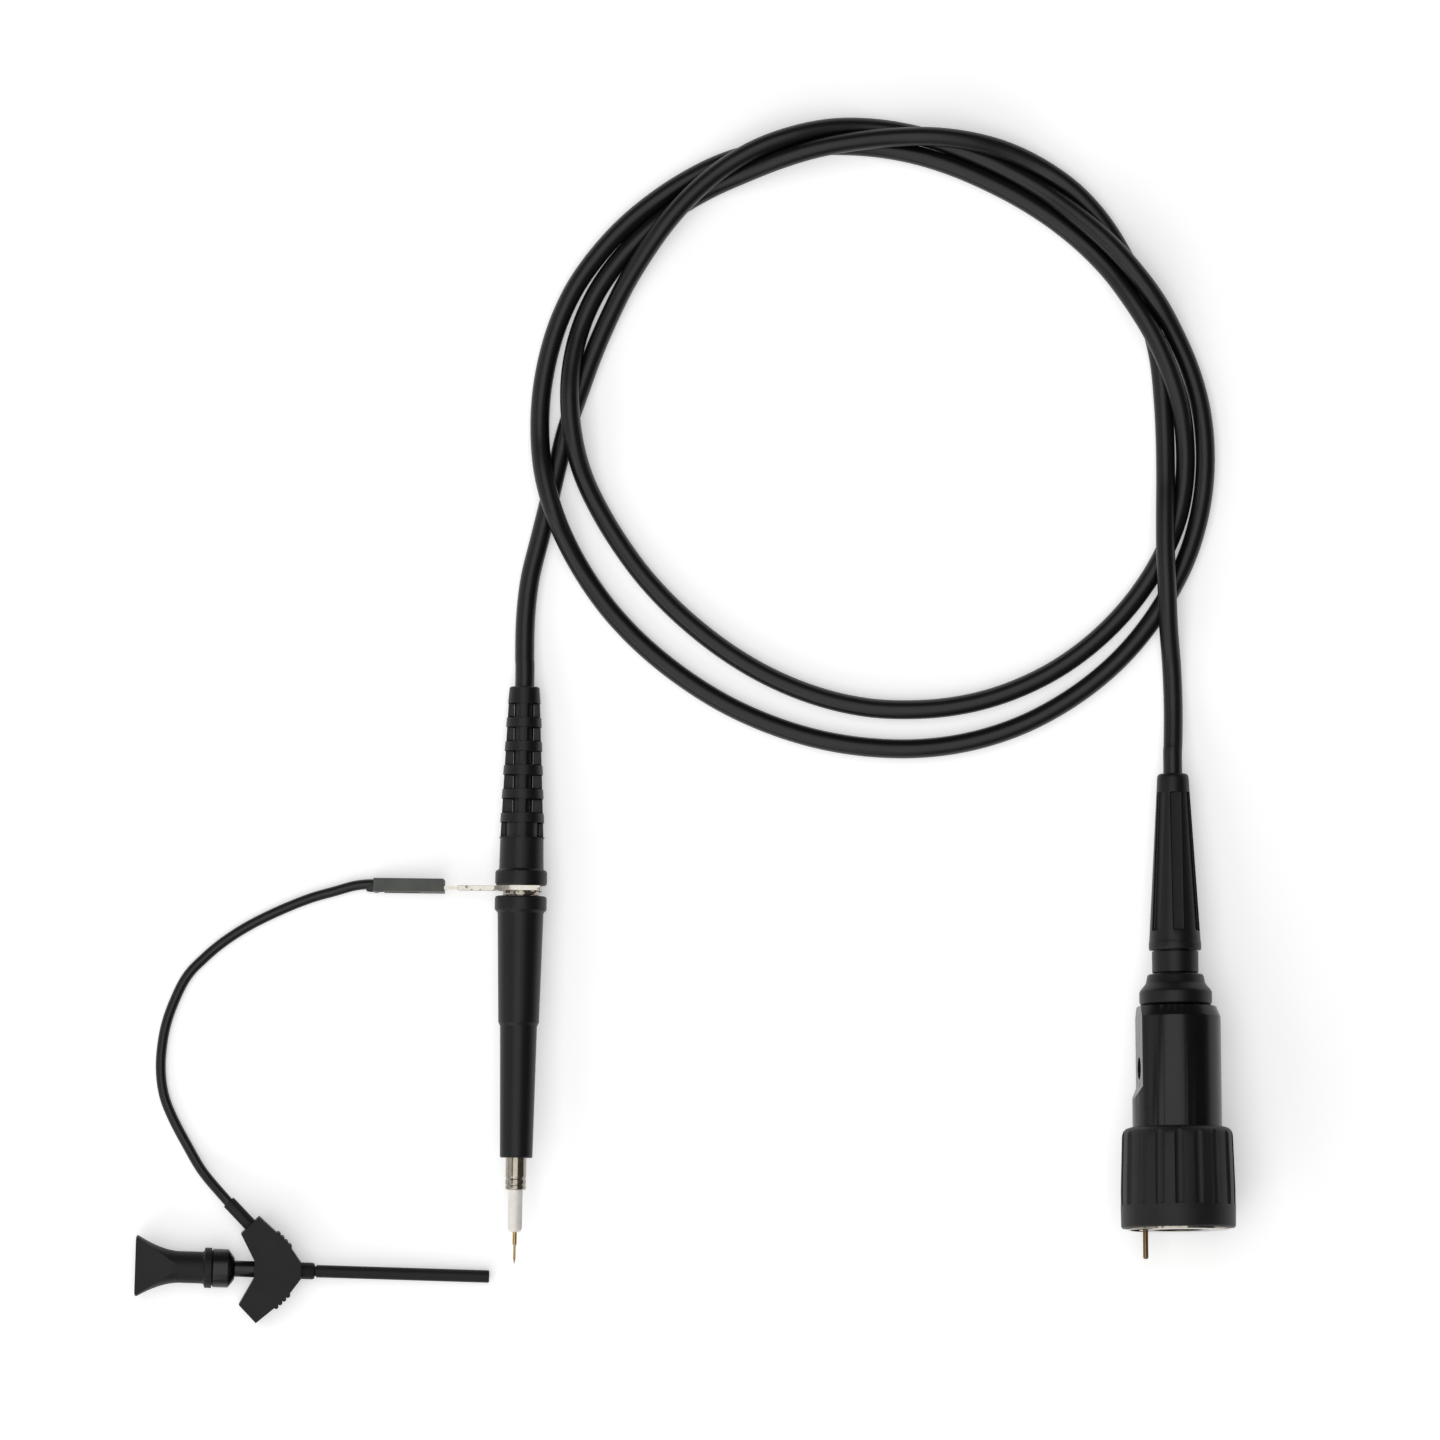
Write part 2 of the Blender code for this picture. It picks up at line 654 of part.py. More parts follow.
def wire(name, finish_name, parent, points, radius, sides_step=2):
    return finish(name, poly_curve(name, points, radius, sides_step), finish_name, parent)


def curve_mesh(made, extra_collection):
    """Makes a curve object a mesh one at the same place, with the seams of its caps closed."""
    bpy.context.view_layer.update()
    graph = bpy.context.evaluated_depsgraph_get()
    mesh = bpy.data.meshes.new_from_object(made.evaluated_get(graph))
    shape = bmesh.new()
    shape.from_mesh(mesh)
    bmesh.ops.remove_doubles(shape, verts=shape.verts, dist=0.000001)
    bmesh.ops.recalc_face_normals(shape, faces=shape.faces)
    shape.to_mesh(mesh)
    shape.free()
    name, parent, matrix = made.name, made.parent, made.matrix_world.copy()
    bpy.data.objects.remove(made, do_unlink=True)
    solid = bpy.data.objects.new(name, mesh)
    extra_collection.objects.link(solid)
    solid.parent = parent
    solid.matrix_world = matrix
    return solid


def plate(name, finish_name, parent, outline, low, high, cutter=False):
    """A flat outline in the parent's XY plane, filled and extruded from low to high along Z, as a mesh."""
    curve = bpy.data.curves.new(name, "CURVE")
    curve.dimensions = "2D"
    curve.fill_mode = "BOTH"
    curve.extrude = (high - low) / 2
    spline = curve.splines.new("POLY")
    spline.points.add(len(outline) - 1)
    spline.use_cyclic_u = True
    for point, (x, y) in zip(spline.points, outline):
        point.co = (x, y, 0.0, 1.0)
    made = finish(name, curve, finish_name, parent, cutter)
    made.location.z = (low + high) / 2
    solid = curve_mesh(made, HELPERS if cutter else PARTS)
    if cutter:
        solid.hide_render = True
        solid.display_type = "WIRE"
    return solid


def coil_points(radius, low, high, turns, per_turn=8):
    """Points of a coil spring about the Z axis, from low to high."""
    count = turns * per_turn
    return [
        (
            radius * math.cos(2 * math.pi * i / per_turn),
            radius * math.sin(2 * math.pi * i / per_turn),
            low + (high - low) * i / count,
        )
        for i in range(count + 1)
    ]


def smooth_path(route, count, lowest):
    """Evenly spaced points of a Catmull-Rom curve through a route, none under the lowest height."""
    route = [Vector(place) for place in route]
    padded = [2 * route[0] - route[1], *route, 2 * route[-1] - route[-2]]
    fine = []
    for a, b, c, d in zip(padded, padded[1:], padded[2:], padded[3:]):
        for step in range(12):
            t = step / 12
            fine.append(
                b
                + 0.5 * (c - a) * t
                + 0.5 * (2 * a - 5 * b + 4 * c - d) * t * t
                + 0.5 * (3 * b - a - 3 * c + d) * t**3
            )
    fine.append(route[-1])
    reach = [0.0]
    for a, b in zip(fine, fine[1:]):
        reach.append(reach[-1] + (b - a).length)
    points, j = [], 0
    for i in range(count):
        wanted = reach[-1] * i / (count - 1)
        while j < len(fine) - 2 and reach[j + 1] < wanted:
            j += 1
        points.append(fine[j].lerp(fine[j + 1], (wanted - reach[j]) / (reach[j + 1] - reach[j])))
        points[-1].z = max(points[-1].z, lowest)
    return points


def boot_radius(z):
    """Outer radius of the head's boot along its cone."""
    return BOOT_REAR_RADIUS + (BOOT_CAGE_RADIUS - BOOT_REAR_RADIUS) * z / BOOT_CAGE_END


def make_cable_boot(head):
    """The moulded strain relief: a tapered cage of rings and four deep spines, a plain cone and a flange."""
    outer = [(boot_radius(0.0), 0.0)]
    for row in range(WINDOW_ROWS):
        low = WINDOW_FIRST + row * WINDOW_PITCH
        high = low + WINDOW_LENGTH
        outer += [
            (boot_radius(low) + BOOT_RIM_PROUD, low),
            (boot_radius(low), low + BOOT_RIM_PROUD),
            (boot_radius(high), high - BOOT_RIM_PROUD),
            (boot_radius(high) + BOOT_RIM_PROUD, high),
        ]
    flange_rear = BOOT_CONE_END + SEAT_GAP
    outer += [(BOOT_CAGE_RADIUS, BOOT_CAGE_END), (BOOT_CONE_RADIUS, BOOT_CONE_END)]
    outer += rounded(FLANGE_RADIUS, flange_rear, FLANGE_ROUND, -1, 2)
    outer += rounded(FLANGE_RADIUS, REAR_FLANGE_FRONT, FLANGE_ROUND, 1, 2)
    grip = CABLE_RADIUS + FIT_GAP
    ferrule_bore = FERRULE_RADIUS + FIT_GAP
    inner = [
        (SHIELD_SHOULDER_RADIUS + FIT_GAP, REAR_FLANGE_FRONT),
        (ferrule_bore, FERRULE_REAR - SEAT_GAP),
        (grip, FERRULE_REAR - SEAT_GAP),
        (grip, 0.0),
    ]
    boot = turned("cable_boot", "boot_black", head, outer + inner)
    reach = 2 * FLANGE_RADIUS
    half = BOOT_SPINE_WIDTH / 2
    boxes = []
    for row in range(WINDOW_ROWS):
        low = WINDOW_FIRST + row * WINDOW_PITCH
        for right in (-1, 1):
            for up in (-1, 1):
                x = sorted((right * half, right * reach))
                y = sorted((up * half, up * reach))
                boxes.append(((x[0], y[0], low), (x[1], y[1], low + WINDOW_LENGTH)))
    cut(boot, blocks("boot_windows", None, head, boxes, cutter=True))


def make_head_ferrule(head):
    """The sleeve that is crimped on the cable's end, seen through the last windows."""
    seat = CABLE_END_IN_HEAD + SEAT_GAP
    section = [
        (CABLE_RADIUS + FIT_GAP, FERRULE_REAR),
        (FERRULE_RADIUS, FERRULE_REAR),
        (FERRULE_RADIUS, SHIELD_REAR - SEAT_GAP),
        (CRIMP_BORE, SHIELD_REAR - SEAT_GAP),
        (CRIMP_BORE, seat),
        (CABLE_RADIUS + FIT_GAP, seat),
    ]
    turned("head_ferrule", "cable_black", head, section)


def make_shield_tube(head):
    """The metal tube through the head. Its shoulder seats in the boot and its front is the bare collar."""
    nut_bead = SHIELD_FRONT - 0.0012
    section = [
        (SHIELD_BORE_RADIUS, SHIELD_REAR),
        (SHIELD_SHOULDER_RADIUS, SHIELD_REAR),
        (SHIELD_SHOULDER_RADIUS, REAR_FLANGE_FRONT - SEAT_GAP),
        (SHIELD_NECK_RADIUS, REAR_FLANGE_FRONT - SEAT_GAP),
        (SHIELD_NECK_RADIUS, SHIELD_STEP),
        (SHIELD_COLLAR_RADIUS, SHIELD_STEP),
        (SHIELD_COLLAR_RADIUS, nut_bead),
        *rounded(SHIELD_COLLAR_RADIUS, SHIELD_FRONT, FIT_GAP, 1, 2),
        (SHIELD_COLLAR_BORE, SHIELD_FRONT),
        (SHIELD_COLLAR_BORE, SHIELD_BORE_FRONT),
        (SHIELD_BORE_RADIUS, SHIELD_BORE_FRONT),
    ]
    turned("shield_tube", "nickel", head, section)


def make_front_barrel(head):
    """The moulded grip: flange with a chamfer, two tapers with a small step between, and a front wall."""
    flange_front = FRONT_FLANGE_REAR + FRONT_FLANGE_LENGTH
    bore = SHIELD_NECK_RADIUS + FIT_GAP
    section = [
        (bore, FRONT_FLANGE_REAR),
        *rounded(FLANGE_RADIUS, FRONT_FLANGE_REAR, FLANGE_ROUND, -1, 2),
        (FLANGE_RADIUS, flange_front),
        (BARREL_REAR_RADIUS, flange_front + FRONT_FLANGE_CHAMFER),
        (BARREL_STEP_RADIUS, BARREL_STEP),
        (BARREL_NOSE_REAR_RADIUS, BARREL_STEP + BARREL_STEP_LENGTH),
        (BARREL_NOSE_RADIUS, BARREL_FRONT),
        (SHIELD_COLLAR_RADIUS + FIT_GAP, BARREL_FRONT),
        (SHIELD_COLLAR_RADIUS + FIT_GAP, SHIELD_STEP + SEAT_GAP),
        (bore, SHIELD_STEP + SEAT_GAP),
    ]
    turned("front_barrel", "boot_black", head, section)


def make_ground_ring(head):
    """The toothed ring in the groove, its teeth towards the fork."""
    front = FRONT_FLANGE_REAR - SEAT_GAP * 2 / 3
    rear = front - GROUND_RING_LENGTH
    bore = SHIELD_NECK_RADIUS + FIT_GAP
    section = [(bore, rear), (GROUND_RING_RADIUS, rear), (GROUND_RING_RADIUS, front), (bore, front)]
    ring = turned("ground_ring", "nickel", head, section)
    gap_section = [
        (SHIELD_NECK_RADIUS, rear - SEAT_GAP),
        (FLANGE_RADIUS, rear - SEAT_GAP),
        (FLANGE_RADIUS, rear + GROUND_RING_LENGTH / 2),
        (SHIELD_NECK_RADIUS, rear + GROUND_RING_LENGTH / 2),
    ]
    pitch = 360.0 / GROUND_RING_TEETH
    starts = [pitch * tooth for tooth in range(GROUND_RING_TEETH)]
    cut(ring, sectors("ring_gaps", head, gap_section, starts, pitch / 2, 2))


def make_tip(head):
    """The insulator and the sprung needle in its barrel."""
    turned(
        "tip_insulator",
        "tip_white",
        head,
        [
            (INSULATOR_BORE, INSULATOR_REAR),
            (INSULATOR_FLANGE_RADIUS, INSULATOR_REAR),
            (INSULATOR_FLANGE_RADIUS, SHIELD_BORE_FRONT - SEAT_GAP),
            (INSULATOR_RADIUS, SHIELD_BORE_FRONT - SEAT_GAP),
            *rounded(INSULATOR_RADIUS, INSULATOR_FRONT, INSULATOR_RADIUS / 2, 1, 4),
            (INSULATOR_BORE, INSULATOR_FRONT),
        ],
        SMALL_SIDES,
    )
    bore = TIP_BARREL_RADIUS - TIP_BARREL_WALL
    floor = TIP_BARREL_FLOOR
    turned(
        "tip_barrel",
        "gold",
        head,
        [
            (0.0, TIP_BARREL_REAR),
            (TIP_BARREL_RADIUS, TIP_BARREL_REAR),
            (TIP_BARREL_RADIUS, TIP_BARREL_FRONT),
            (bore, TIP_BARREL_FRONT),
            (bore, floor),
            (0.0, floor),
        ],
        FINE_SIDES,
    )
    turned(
        "tip_needle",
        "gold",
        head,
        [
            (0.0, NEEDLE_HEAD_REAR),
            (NEEDLE_RADIUS, NEEDLE_HEAD_REAR),
            (NEEDLE_RADIUS, NEEDLE_FRONT - NEEDLE_POINT_LENGTH),
            (NEEDLE_RADIUS / 4, NEEDLE_FRONT),
            (0.0, NEEDLE_FRONT),
        ],
        FINE_SIDES,
    )
    coil = coil_points(
        bore - 2.2 * TIP_SPRING_WIRE,
        floor + SEAT_GAP,
        NEEDLE_HEAD_REAR - SEAT_GAP,
        turns=14,
        per_turn=6,
    )
    wire("tip_spring", "spring_steel", head, coil, TIP_SPRING_WIRE, 1)


def make_head_circuit(head):
    """The small board and the series resistor in the shield tube."""
    blocks(
        "attenuator_board",
        "board_green",
        head,
        [
            (
                (-BOARD_WIDTH / 2, -BOARD_THICKNESS / 2, BOARD_REAR),
                (BOARD_WIDTH / 2, BOARD_THICKNESS / 2, BOARD_REAR + BOARD_LENGTH),
            )
        ],
    )
    lead_rear = BOARD_REAR + BOARD_LENGTH + SEAT_GAP
    body_rear = lead_rear + 2 * RESISTOR_RADIUS
    body_front = body_rear + RESISTOR_LENGTH
    turned(
        "divider_resistor",
        "ceramic_blue",
        head,
        [
            (0.0, lead_rear),
            (RESISTOR_LEAD_RADIUS, lead_rear),
            (RESISTOR_LEAD_RADIUS, body_rear),
            (RESISTOR_RADIUS, body_rear),
            (RESISTOR_RADIUS, body_front),
            (RESISTOR_LEAD_RADIUS, body_front),
            (RESISTOR_LEAD_RADIUS, TIP_BARREL_REAR - SEAT_GAP),
            (0.0, TIP_BARREL_REAR - SEAT_GAP),
        ],
        SMALL_SIDES,
    )


def make_connector_boot(plug):
    """The tapered strain relief with six recessed flutes and a small lip."""
    grip = CABLE_RADIUS + FIT_GAP
    crimp = CRIMP_RADIUS + FIT_GAP
    tail = NECK_TAIL_RADIUS + FIT_GAP
    tail_rear = PLUG_BOOT_LENGTH - NECK_TAIL_LENGTH
    section = [
        (grip, 0.0),
        *rounded(PLUG_BOOT_REAR_RADIUS, 0.0, PLUG_BOOT_ROUND, -1, 3),
        (PLUG_BOOT_CONE_RADIUS, PLUG_BOOT_CONE_END),
        (PLUG_BOOT_FRONT_RADIUS, PLUG_BOOT_LIP_END),
        (PLUG_BOOT_FRONT_RADIUS, PLUG_BOOT_LENGTH),
        (tail, PLUG_BOOT_LENGTH),
        (tail, tail_rear),
        (crimp, tail_rear),
        (crimp, CABLE_END_IN_PLUG),
        (grip, CABLE_END_IN_PLUG),
    ]
    boot = turned("connector_boot", "boot_black", plug, section)
    slope = (PLUG_BOOT_CONE_RADIUS - PLUG_BOOT_REAR_RADIUS) / PLUG_BOOT_CONE_END
    floor_rear = PLUG_BOOT_REAR_RADIUS + slope * FLUTE_REAR - FLUTE_DEPTH
    floor_front = PLUG_BOOT_REAR_RADIUS + slope * FLUTE_FRONT - FLUTE_DEPTH
    flute_section = [
        (floor_rear, FLUTE_REAR + FLUTE_DEPTH),
        (floor_front, FLUTE_FRONT - FLUTE_DEPTH),
        (floor_front + 2 * FLUTE_DEPTH, FLUTE_FRONT + FLUTE_DEPTH),
        (floor_rear + 2 * FLUTE_DEPTH, FLUTE_REAR - FLUTE_DEPTH),
    ]
    pitch = 360.0 / FLUTE_COUNT
    starts = [FLUTE_PLACE - FLUTE_ARC / 2 + pitch * flute for flute in range(FLUTE_COUNT)]
    cut(boot, sectors("boot_flutes", plug, flute_section, starts, FLUTE_ARC, 3))


def make_neck_and_collar(plug):
    """The crimp ferrule, the neck sleeve that joins boot and housing, and the stepped ring round it."""
    crimp_rear = CABLE_END_IN_PLUG + SEAT_GAP
    neck_rear = PLUG_BOOT_LENGTH + SEAT_GAP
    neck_front = neck_rear + NECK_LENGTH
    spigot_front = HOUSING_REAR + HOUSING_REAR_WALL
    bore = CRIMP_RADIUS + FIT_GAP
    turned(
        "crimp_ferrule",
        "nickel",
        plug,
        [
            (CRIMP_BORE, crimp_rear),
            (CRIMP_RADIUS, crimp_rear),
            (CRIMP_RADIUS, CRIMP_FRONT),
            (CRIMP_BORE, CRIMP_FRONT),
        ],
        SMALL_SIDES,
    )
    turned(
        "boot_neck",
        "boot_black",
        plug,
        [
            (bore, neck_rear - NECK_TAIL_LENGTH),
            (NECK_TAIL_RADIUS, neck_rear - NECK_TAIL_LENGTH),
            (NECK_TAIL_RADIUS, neck_rear),
            (NECK_RADIUS, neck_rear),
            (NECK_RADIUS, neck_front),
            (NECK_SPIGOT_RADIUS, neck_front),
            (NECK_SPIGOT_RADIUS, spigot_front),
            (bore, spigot_front),
        ],
    )
    collar_rear = neck_front + SEAT_GAP
    collar_front = collar_rear + COLLAR_LENGTH
    band_rear = collar_rear + COLLAR_STEP_LENGTH + COLLAR_CHAMFER_LENGTH
    turned(
        "collar_ring",
        "boot_black",
        plug,
        [
            (NECK_SPIGOT_RADIUS + FIT_GAP, collar_rear),
            (COLLAR_STEP_RADIUS, collar_rear),
            (COLLAR_CHAMFER_RADIUS, collar_rear + COLLAR_STEP_LENGTH),
            (COLLAR_RADIUS, band_rear),
            (COLLAR_RADIUS, collar_front - COLLAR_EDGE),
            (COLLAR_RADIUS - COLLAR_EDGE, collar_front),
            (NECK_SPIGOT_RADIUS + FIT_GAP, collar_front),
        ],
        LARGE_SIDES,
    )


def make_compensation_housing(plug):
    """The glossy shell with its flat, run-out and trimmer hole, open at the front."""
    floor = HOUSING_REAR + HOUSING_REAR_WALL
    inner = HOUSING_RADIUS - HOUSING_WALL
    beyond = HOUSING_FRONT + HOUSING_RADIUS
    section = [
        (NECK_SPIGOT_RADIUS + FIT_GAP, HOUSING_REAR),
        (HOUSING_RADIUS - HOUSING_CHAMFER_DEPTH, HOUSING_REAR),
        (HOUSING_RADIUS, HOUSING_REAR + HOUSING_CHAMFER),
        (HOUSING_RADIUS, HOUSING_FRONT),
        (NECK_SPIGOT_RADIUS + FIT_GAP, HOUSING_FRONT),
    ]
    housing = turned("compensation_housing", "gloss_black", plug, section, LARGE_SIDES)
    chamber_section = [(0.0, floor), (inner, floor), (inner, beyond), (0.0, beyond)]
    chamber = turned("housing_chamber", None, plug, chamber_section, LARGE_SIDES, cutter=True)
    wall_side = FLAT_DISTANCE - FLAT_WALL
    far = 2 * HOUSING_RADIUS
    behind_flat = blocks(
        "flat_inner_side",
        None,
        plug,
        [((-far, -far, 0.0), (-wall_side, far, FLAT_FRONT + FLAT_RUN_OUT))],
        cutter=True,
    )
    cut(chamber, behind_flat)
    cut(housing, chamber)
    run_out = HOUSING_RADIUS - FLAT_DISTANCE
    flat_outline = [
        (-FLAT_DISTANCE, HOUSING_REAR - far),
        (-FLAT_DISTANCE, FLAT_FRONT),
        (-FLAT_DISTANCE - run_out - SEAT_GAP, FLAT_FRONT + FLAT_RUN_OUT * (1 + SEAT_GAP / run_out)),
        (-far, FLAT_FRONT + FLAT_RUN_OUT * (1 + SEAT_GAP / run_out)),
        (-far, HOUSING_REAR - far),
    ]
    side = child_frame("flat_frame", plug, Matrix.Rotation(math.radians(90), 4, "X"))
    cut(housing, plate("housing_flat", None, side, flat_outline, -far, far, cutter=True))
    hole_place = Matrix.Translation((-FLAT_DISTANCE, 0.0, TRIMMER_PLACE))
    hole_place = hole_place @ Matrix.Rotation(math.pi / 2, 4, "Y")
    cut(housing, rods("trimmer_hole", plug, [hole_place], TRIMMER_HOLE_RADIUS, 4 * FLAT_WALL, SMALL_SIDES))


def make_compensation_circuit(plug):
    """The board in the housing with the trimmer, whose slotted screw faces the hole."""
    board_front = PLUG_CORE_REAR - SEAT_GAP
    board_rear = CRIMP_FRONT + SEAT_GAP
    low_x = PLUG_BOARD_OFFSET
    blocks(
        "compensation_board",
        "board_green",
        plug,
        [
            (
                (low_x, -PLUG_BOARD_WIDTH / 2, board_rear),
                (low_x + PLUG_BOARD_THICKNESS, PLUG_BOARD_WIDTH / 2, board_front),
            )
        ],
    )
    # The trimmer's own Z points out through the hole.
    base = Matrix.Translation((low_x - SEAT_GAP, 0.0, TRIMMER_PLACE)) @ Matrix.Rotation(-math.pi / 2, 4, "Y")
    trimmer = child_frame("trimmer_frame", plug, base)
    shaft_hole = TRIMMER_SHAFT_RADIUS + FIT_GAP
    shaft_floor = TRIMMER_BODY_HEIGHT + SEAT_GAP - TRIMMER_SHAFT_LENGTH
    turned(
        "trimmer_body",
        "ceramic_blue",
        trimmer,
        [
            (0.0, 0.0),
            (TRIMMER_BODY_RADIUS, 0.0),
            (TRIMMER_BODY_RADIUS, TRIMMER_BODY_HEIGHT),
            (shaft_hole, TRIMMER_BODY_HEIGHT),
            (shaft_hole, shaft_floor - SEAT_GAP),
            (0.0, shaft_floor - SEAT_GAP),
        ],
        SMALL_SIDES,
    )
    head_low = TRIMMER_BODY_HEIGHT + SEAT_GAP
    head_high = head_low + TRIMMER_SCREW_HEIGHT
    screw = turned(
        "trimmer_screw",
        "gold",
        trimmer,
        [
            (0.0, shaft_floor),
            (TRIMMER_SHAFT_RADIUS, shaft_floor),
            (TRIMMER_SHAFT_RADIUS, head_low),
            (TRIMMER_SCREW_RADIUS, head_low),
            (TRIMMER_SCREW_RADIUS, head_high),
            (0.0, head_high),
        ],
        SMALL_SIDES,
    )
    reach = 2 * TRIMMER_SCREW_RADIUS
    slot = (
        (-reach, -TRIMMER_SLOT_WIDTH / 2, head_high - TRIMMER_SLOT_DEPTH),
        (reach, TRIMMER_SLOT_WIDTH / 2, head_high + TRIMMER_SLOT_DEPTH),
    )
    cut(screw, blocks("trimmer_slot", None, trimmer, [slot], cutter=True))


def make_connector_body(plug):
    """Plug core, flange plate, journal and slotted contact fingers, turned in one piece."""
    plate_rear = HOUSING_FRONT + SEAT_GAP
    plate_front = plate_rear + FLANGE_PLATE_THICKNESS
    journal_front = plate_front + JOURNAL_LENGTH
    groove_rear = plate_front + RING_GROOVE_PLACE
    core_radius = HOUSING_RADIUS - HOUSING_WALL - FIT_GAP
    section = [
        (FINGER_BORE, PLUG_CORE_REAR),
        (core_radius, PLUG_CORE_REAR),
        (core_radius, plate_rear),
        (FLANGE_PLATE_RADIUS, plate_rear),
        (FLANGE_PLATE_RADIUS, plate_front),
        (JOURNAL_RADIUS, plate_front),
        (JOURNAL_RADIUS, groove_rear),
        (JOURNAL_RADIUS - RING_GROOVE_DEPTH, groove_rear),
        (JOURNAL_RADIUS - RING_GROOVE_DEPTH, groove_rear + RING_GROOVE_LENGTH),
        (JOURNAL_RADIUS, groove_rear + RING_GROOVE_LENGTH),
        (JOURNAL_RADIUS, journal_front),
        (FINGER_RADIUS, journal_front),
        (FINGER_RADIUS, FINGER_FRONT),
        (FINGER_BORE, FINGER_FRONT),
    ]
    body = turned("connector_body", "nickel", plug, section, LARGE_SIDES)
    reach = 2 * FINGER_RADIUS
    half = FINGER_SLOT_WIDTH / 2
    low = FINGER_FRONT - FINGER_SLOT_LENGTH
    high = FINGER_FRONT + FINGER_SLOT_LENGTH
    for index in range(FINGER_SLOTS // 2):
        box = ((-reach, -half, low), (reach, half, high))
        slot = blocks(f"finger_slot_{index}", None, plug, [box], cutter=True)
        slot.rotation_euler.z = math.pi * index / (FINGER_SLOTS // 2)
        cut(body, slot)
    place = Matrix.Translation((*readout_place(), (plate_rear + plate_front) / 2))
    seat = READOUT_SPIGOT_RADIUS + FIT_GAP
    cut(body, rods("readout_seat", plug, [place], seat, 2 * FLANGE_PLATE_THICKNESS, SMALL_SIDES))


def readout_place():
    """The readout pin's place across the connector's axis."""
    angle = math.radians(READOUT_ANGLE)
    return READOUT_RADIUS * math.cos(angle), READOUT_RADIUS * math.sin(angle)


def make_contacts(plug):
    """The insulator in the fingers and the centre pin through it."""
    rear = PLUG_CORE_REAR + SEAT_GAP
    radius = FINGER_BORE - FIT_GAP
    bore = CONTACT_PIN_RADIUS + FIT_GAP
    turned(
        "contact_insulator",
        "contact_plastic",
        plug,
        [
            (bore, rear),
            (radius, rear),
            (radius, CONTACT_INSULATOR_FRONT),
            (bore, CONTACT_INSULATOR_FRONT),
        ],
        BOOT_SIDES,
    )
    turned(
        "centre_pin",
        "gold",
        plug,
        [
            (0.0, CONTACT_PIN_REAR),
            (CONTACT_PIN_RADIUS, CONTACT_PIN_REAR),
            (CONTACT_PIN_RADIUS, CONTACT_PIN_FRONT - CONTACT_PIN_RADIUS),
            (CONTACT_PIN_RADIUS / 2, CONTACT_PIN_FRONT),
            (0.0, CONTACT_PIN_FRONT),
        ],
        SMALL_SIDES,
    )


def make_nut(plug):
    """The bayonet nut: hub with two lug channels, and the disc with the arc slot for the readout pin."""
    nut_front = KNOB_FRONT + NUT_PROUD
    disc_rear = nut_front - NUT_DISC_THICKNESS
    lip_front = NUT_REAR + NUT_LIP_LENGTH
    section = [
        (NUT_LIP_BORE, NUT_REAR),
        (NUT_HUB_RADIUS, NUT_REAR),
        (NUT_HUB_RADIUS, disc_rear),
        (NUT_DISC_RADIUS, disc_rear),
        (NUT_DISC_RADIUS, nut_front),
        (NUT_BORE, nut_front),
        (NUT_BORE, lip_front),
        (NUT_LIP_BORE, lip_front),
    ]
    nut = turned("bayonet_nut", "nickel", plug, section, LARGE_SIDES)
    half = READOUT_PIN_RADIUS + FIT_GAP + SEAT_GAP / 2
    slot_section = [
        (READOUT_RADIUS - half, disc_rear - SEAT_GAP),
        (READOUT_RADIUS + half, disc_rear - SEAT_GAP),
        (READOUT_RADIUS + half, nut_front + SEAT_GAP),
        (READOUT_RADIUS - half, nut_front + SEAT_GAP),
    ]
    end_angle = math.degrees(half / READOUT_RADIUS)
    slot_start = READOUT_ANGLE - KNOB_TURN - end_angle
    slot = sectors("nut_arc_slot", plug, slot_section, [slot_start], KNOB_TURN + 2 * end_angle, 12)
    cut(nut, slot)
    for side in (0.0, 180.0):
        points = []
        for z in (nut_front + LUG_SLOT_RADIUS, nut_front - LUG_SLOT_DEPTH / 2):
            points.append(Matrix.Rotation(math.radians(side), 3, "Z") @ Vector((NUT_BORE, 0.0, z)))
        for step in range(7):
            share = step / 6
            turn = Matrix.Rotation(math.radians(side - LUG_SLOT_TURN * share), 3, "Z")
            depth = LUG_SLOT_DEPTH + LUG_SLOT_ADVANCE * share
            points.append(turn @ Vector((NUT_BORE, 0.0, nut_front - depth)))
        data = poly_curve(f"lug_channel_{side:.0f}", points, LUG_SLOT_RADIUS, 1)
        channel = finish(data.name, data, None, plug, cutter=True)
        channel = curve_mesh(channel, HELPERS)
        channel.hide_render = True
        channel.display_type = "WIRE"
        cut(nut, channel)


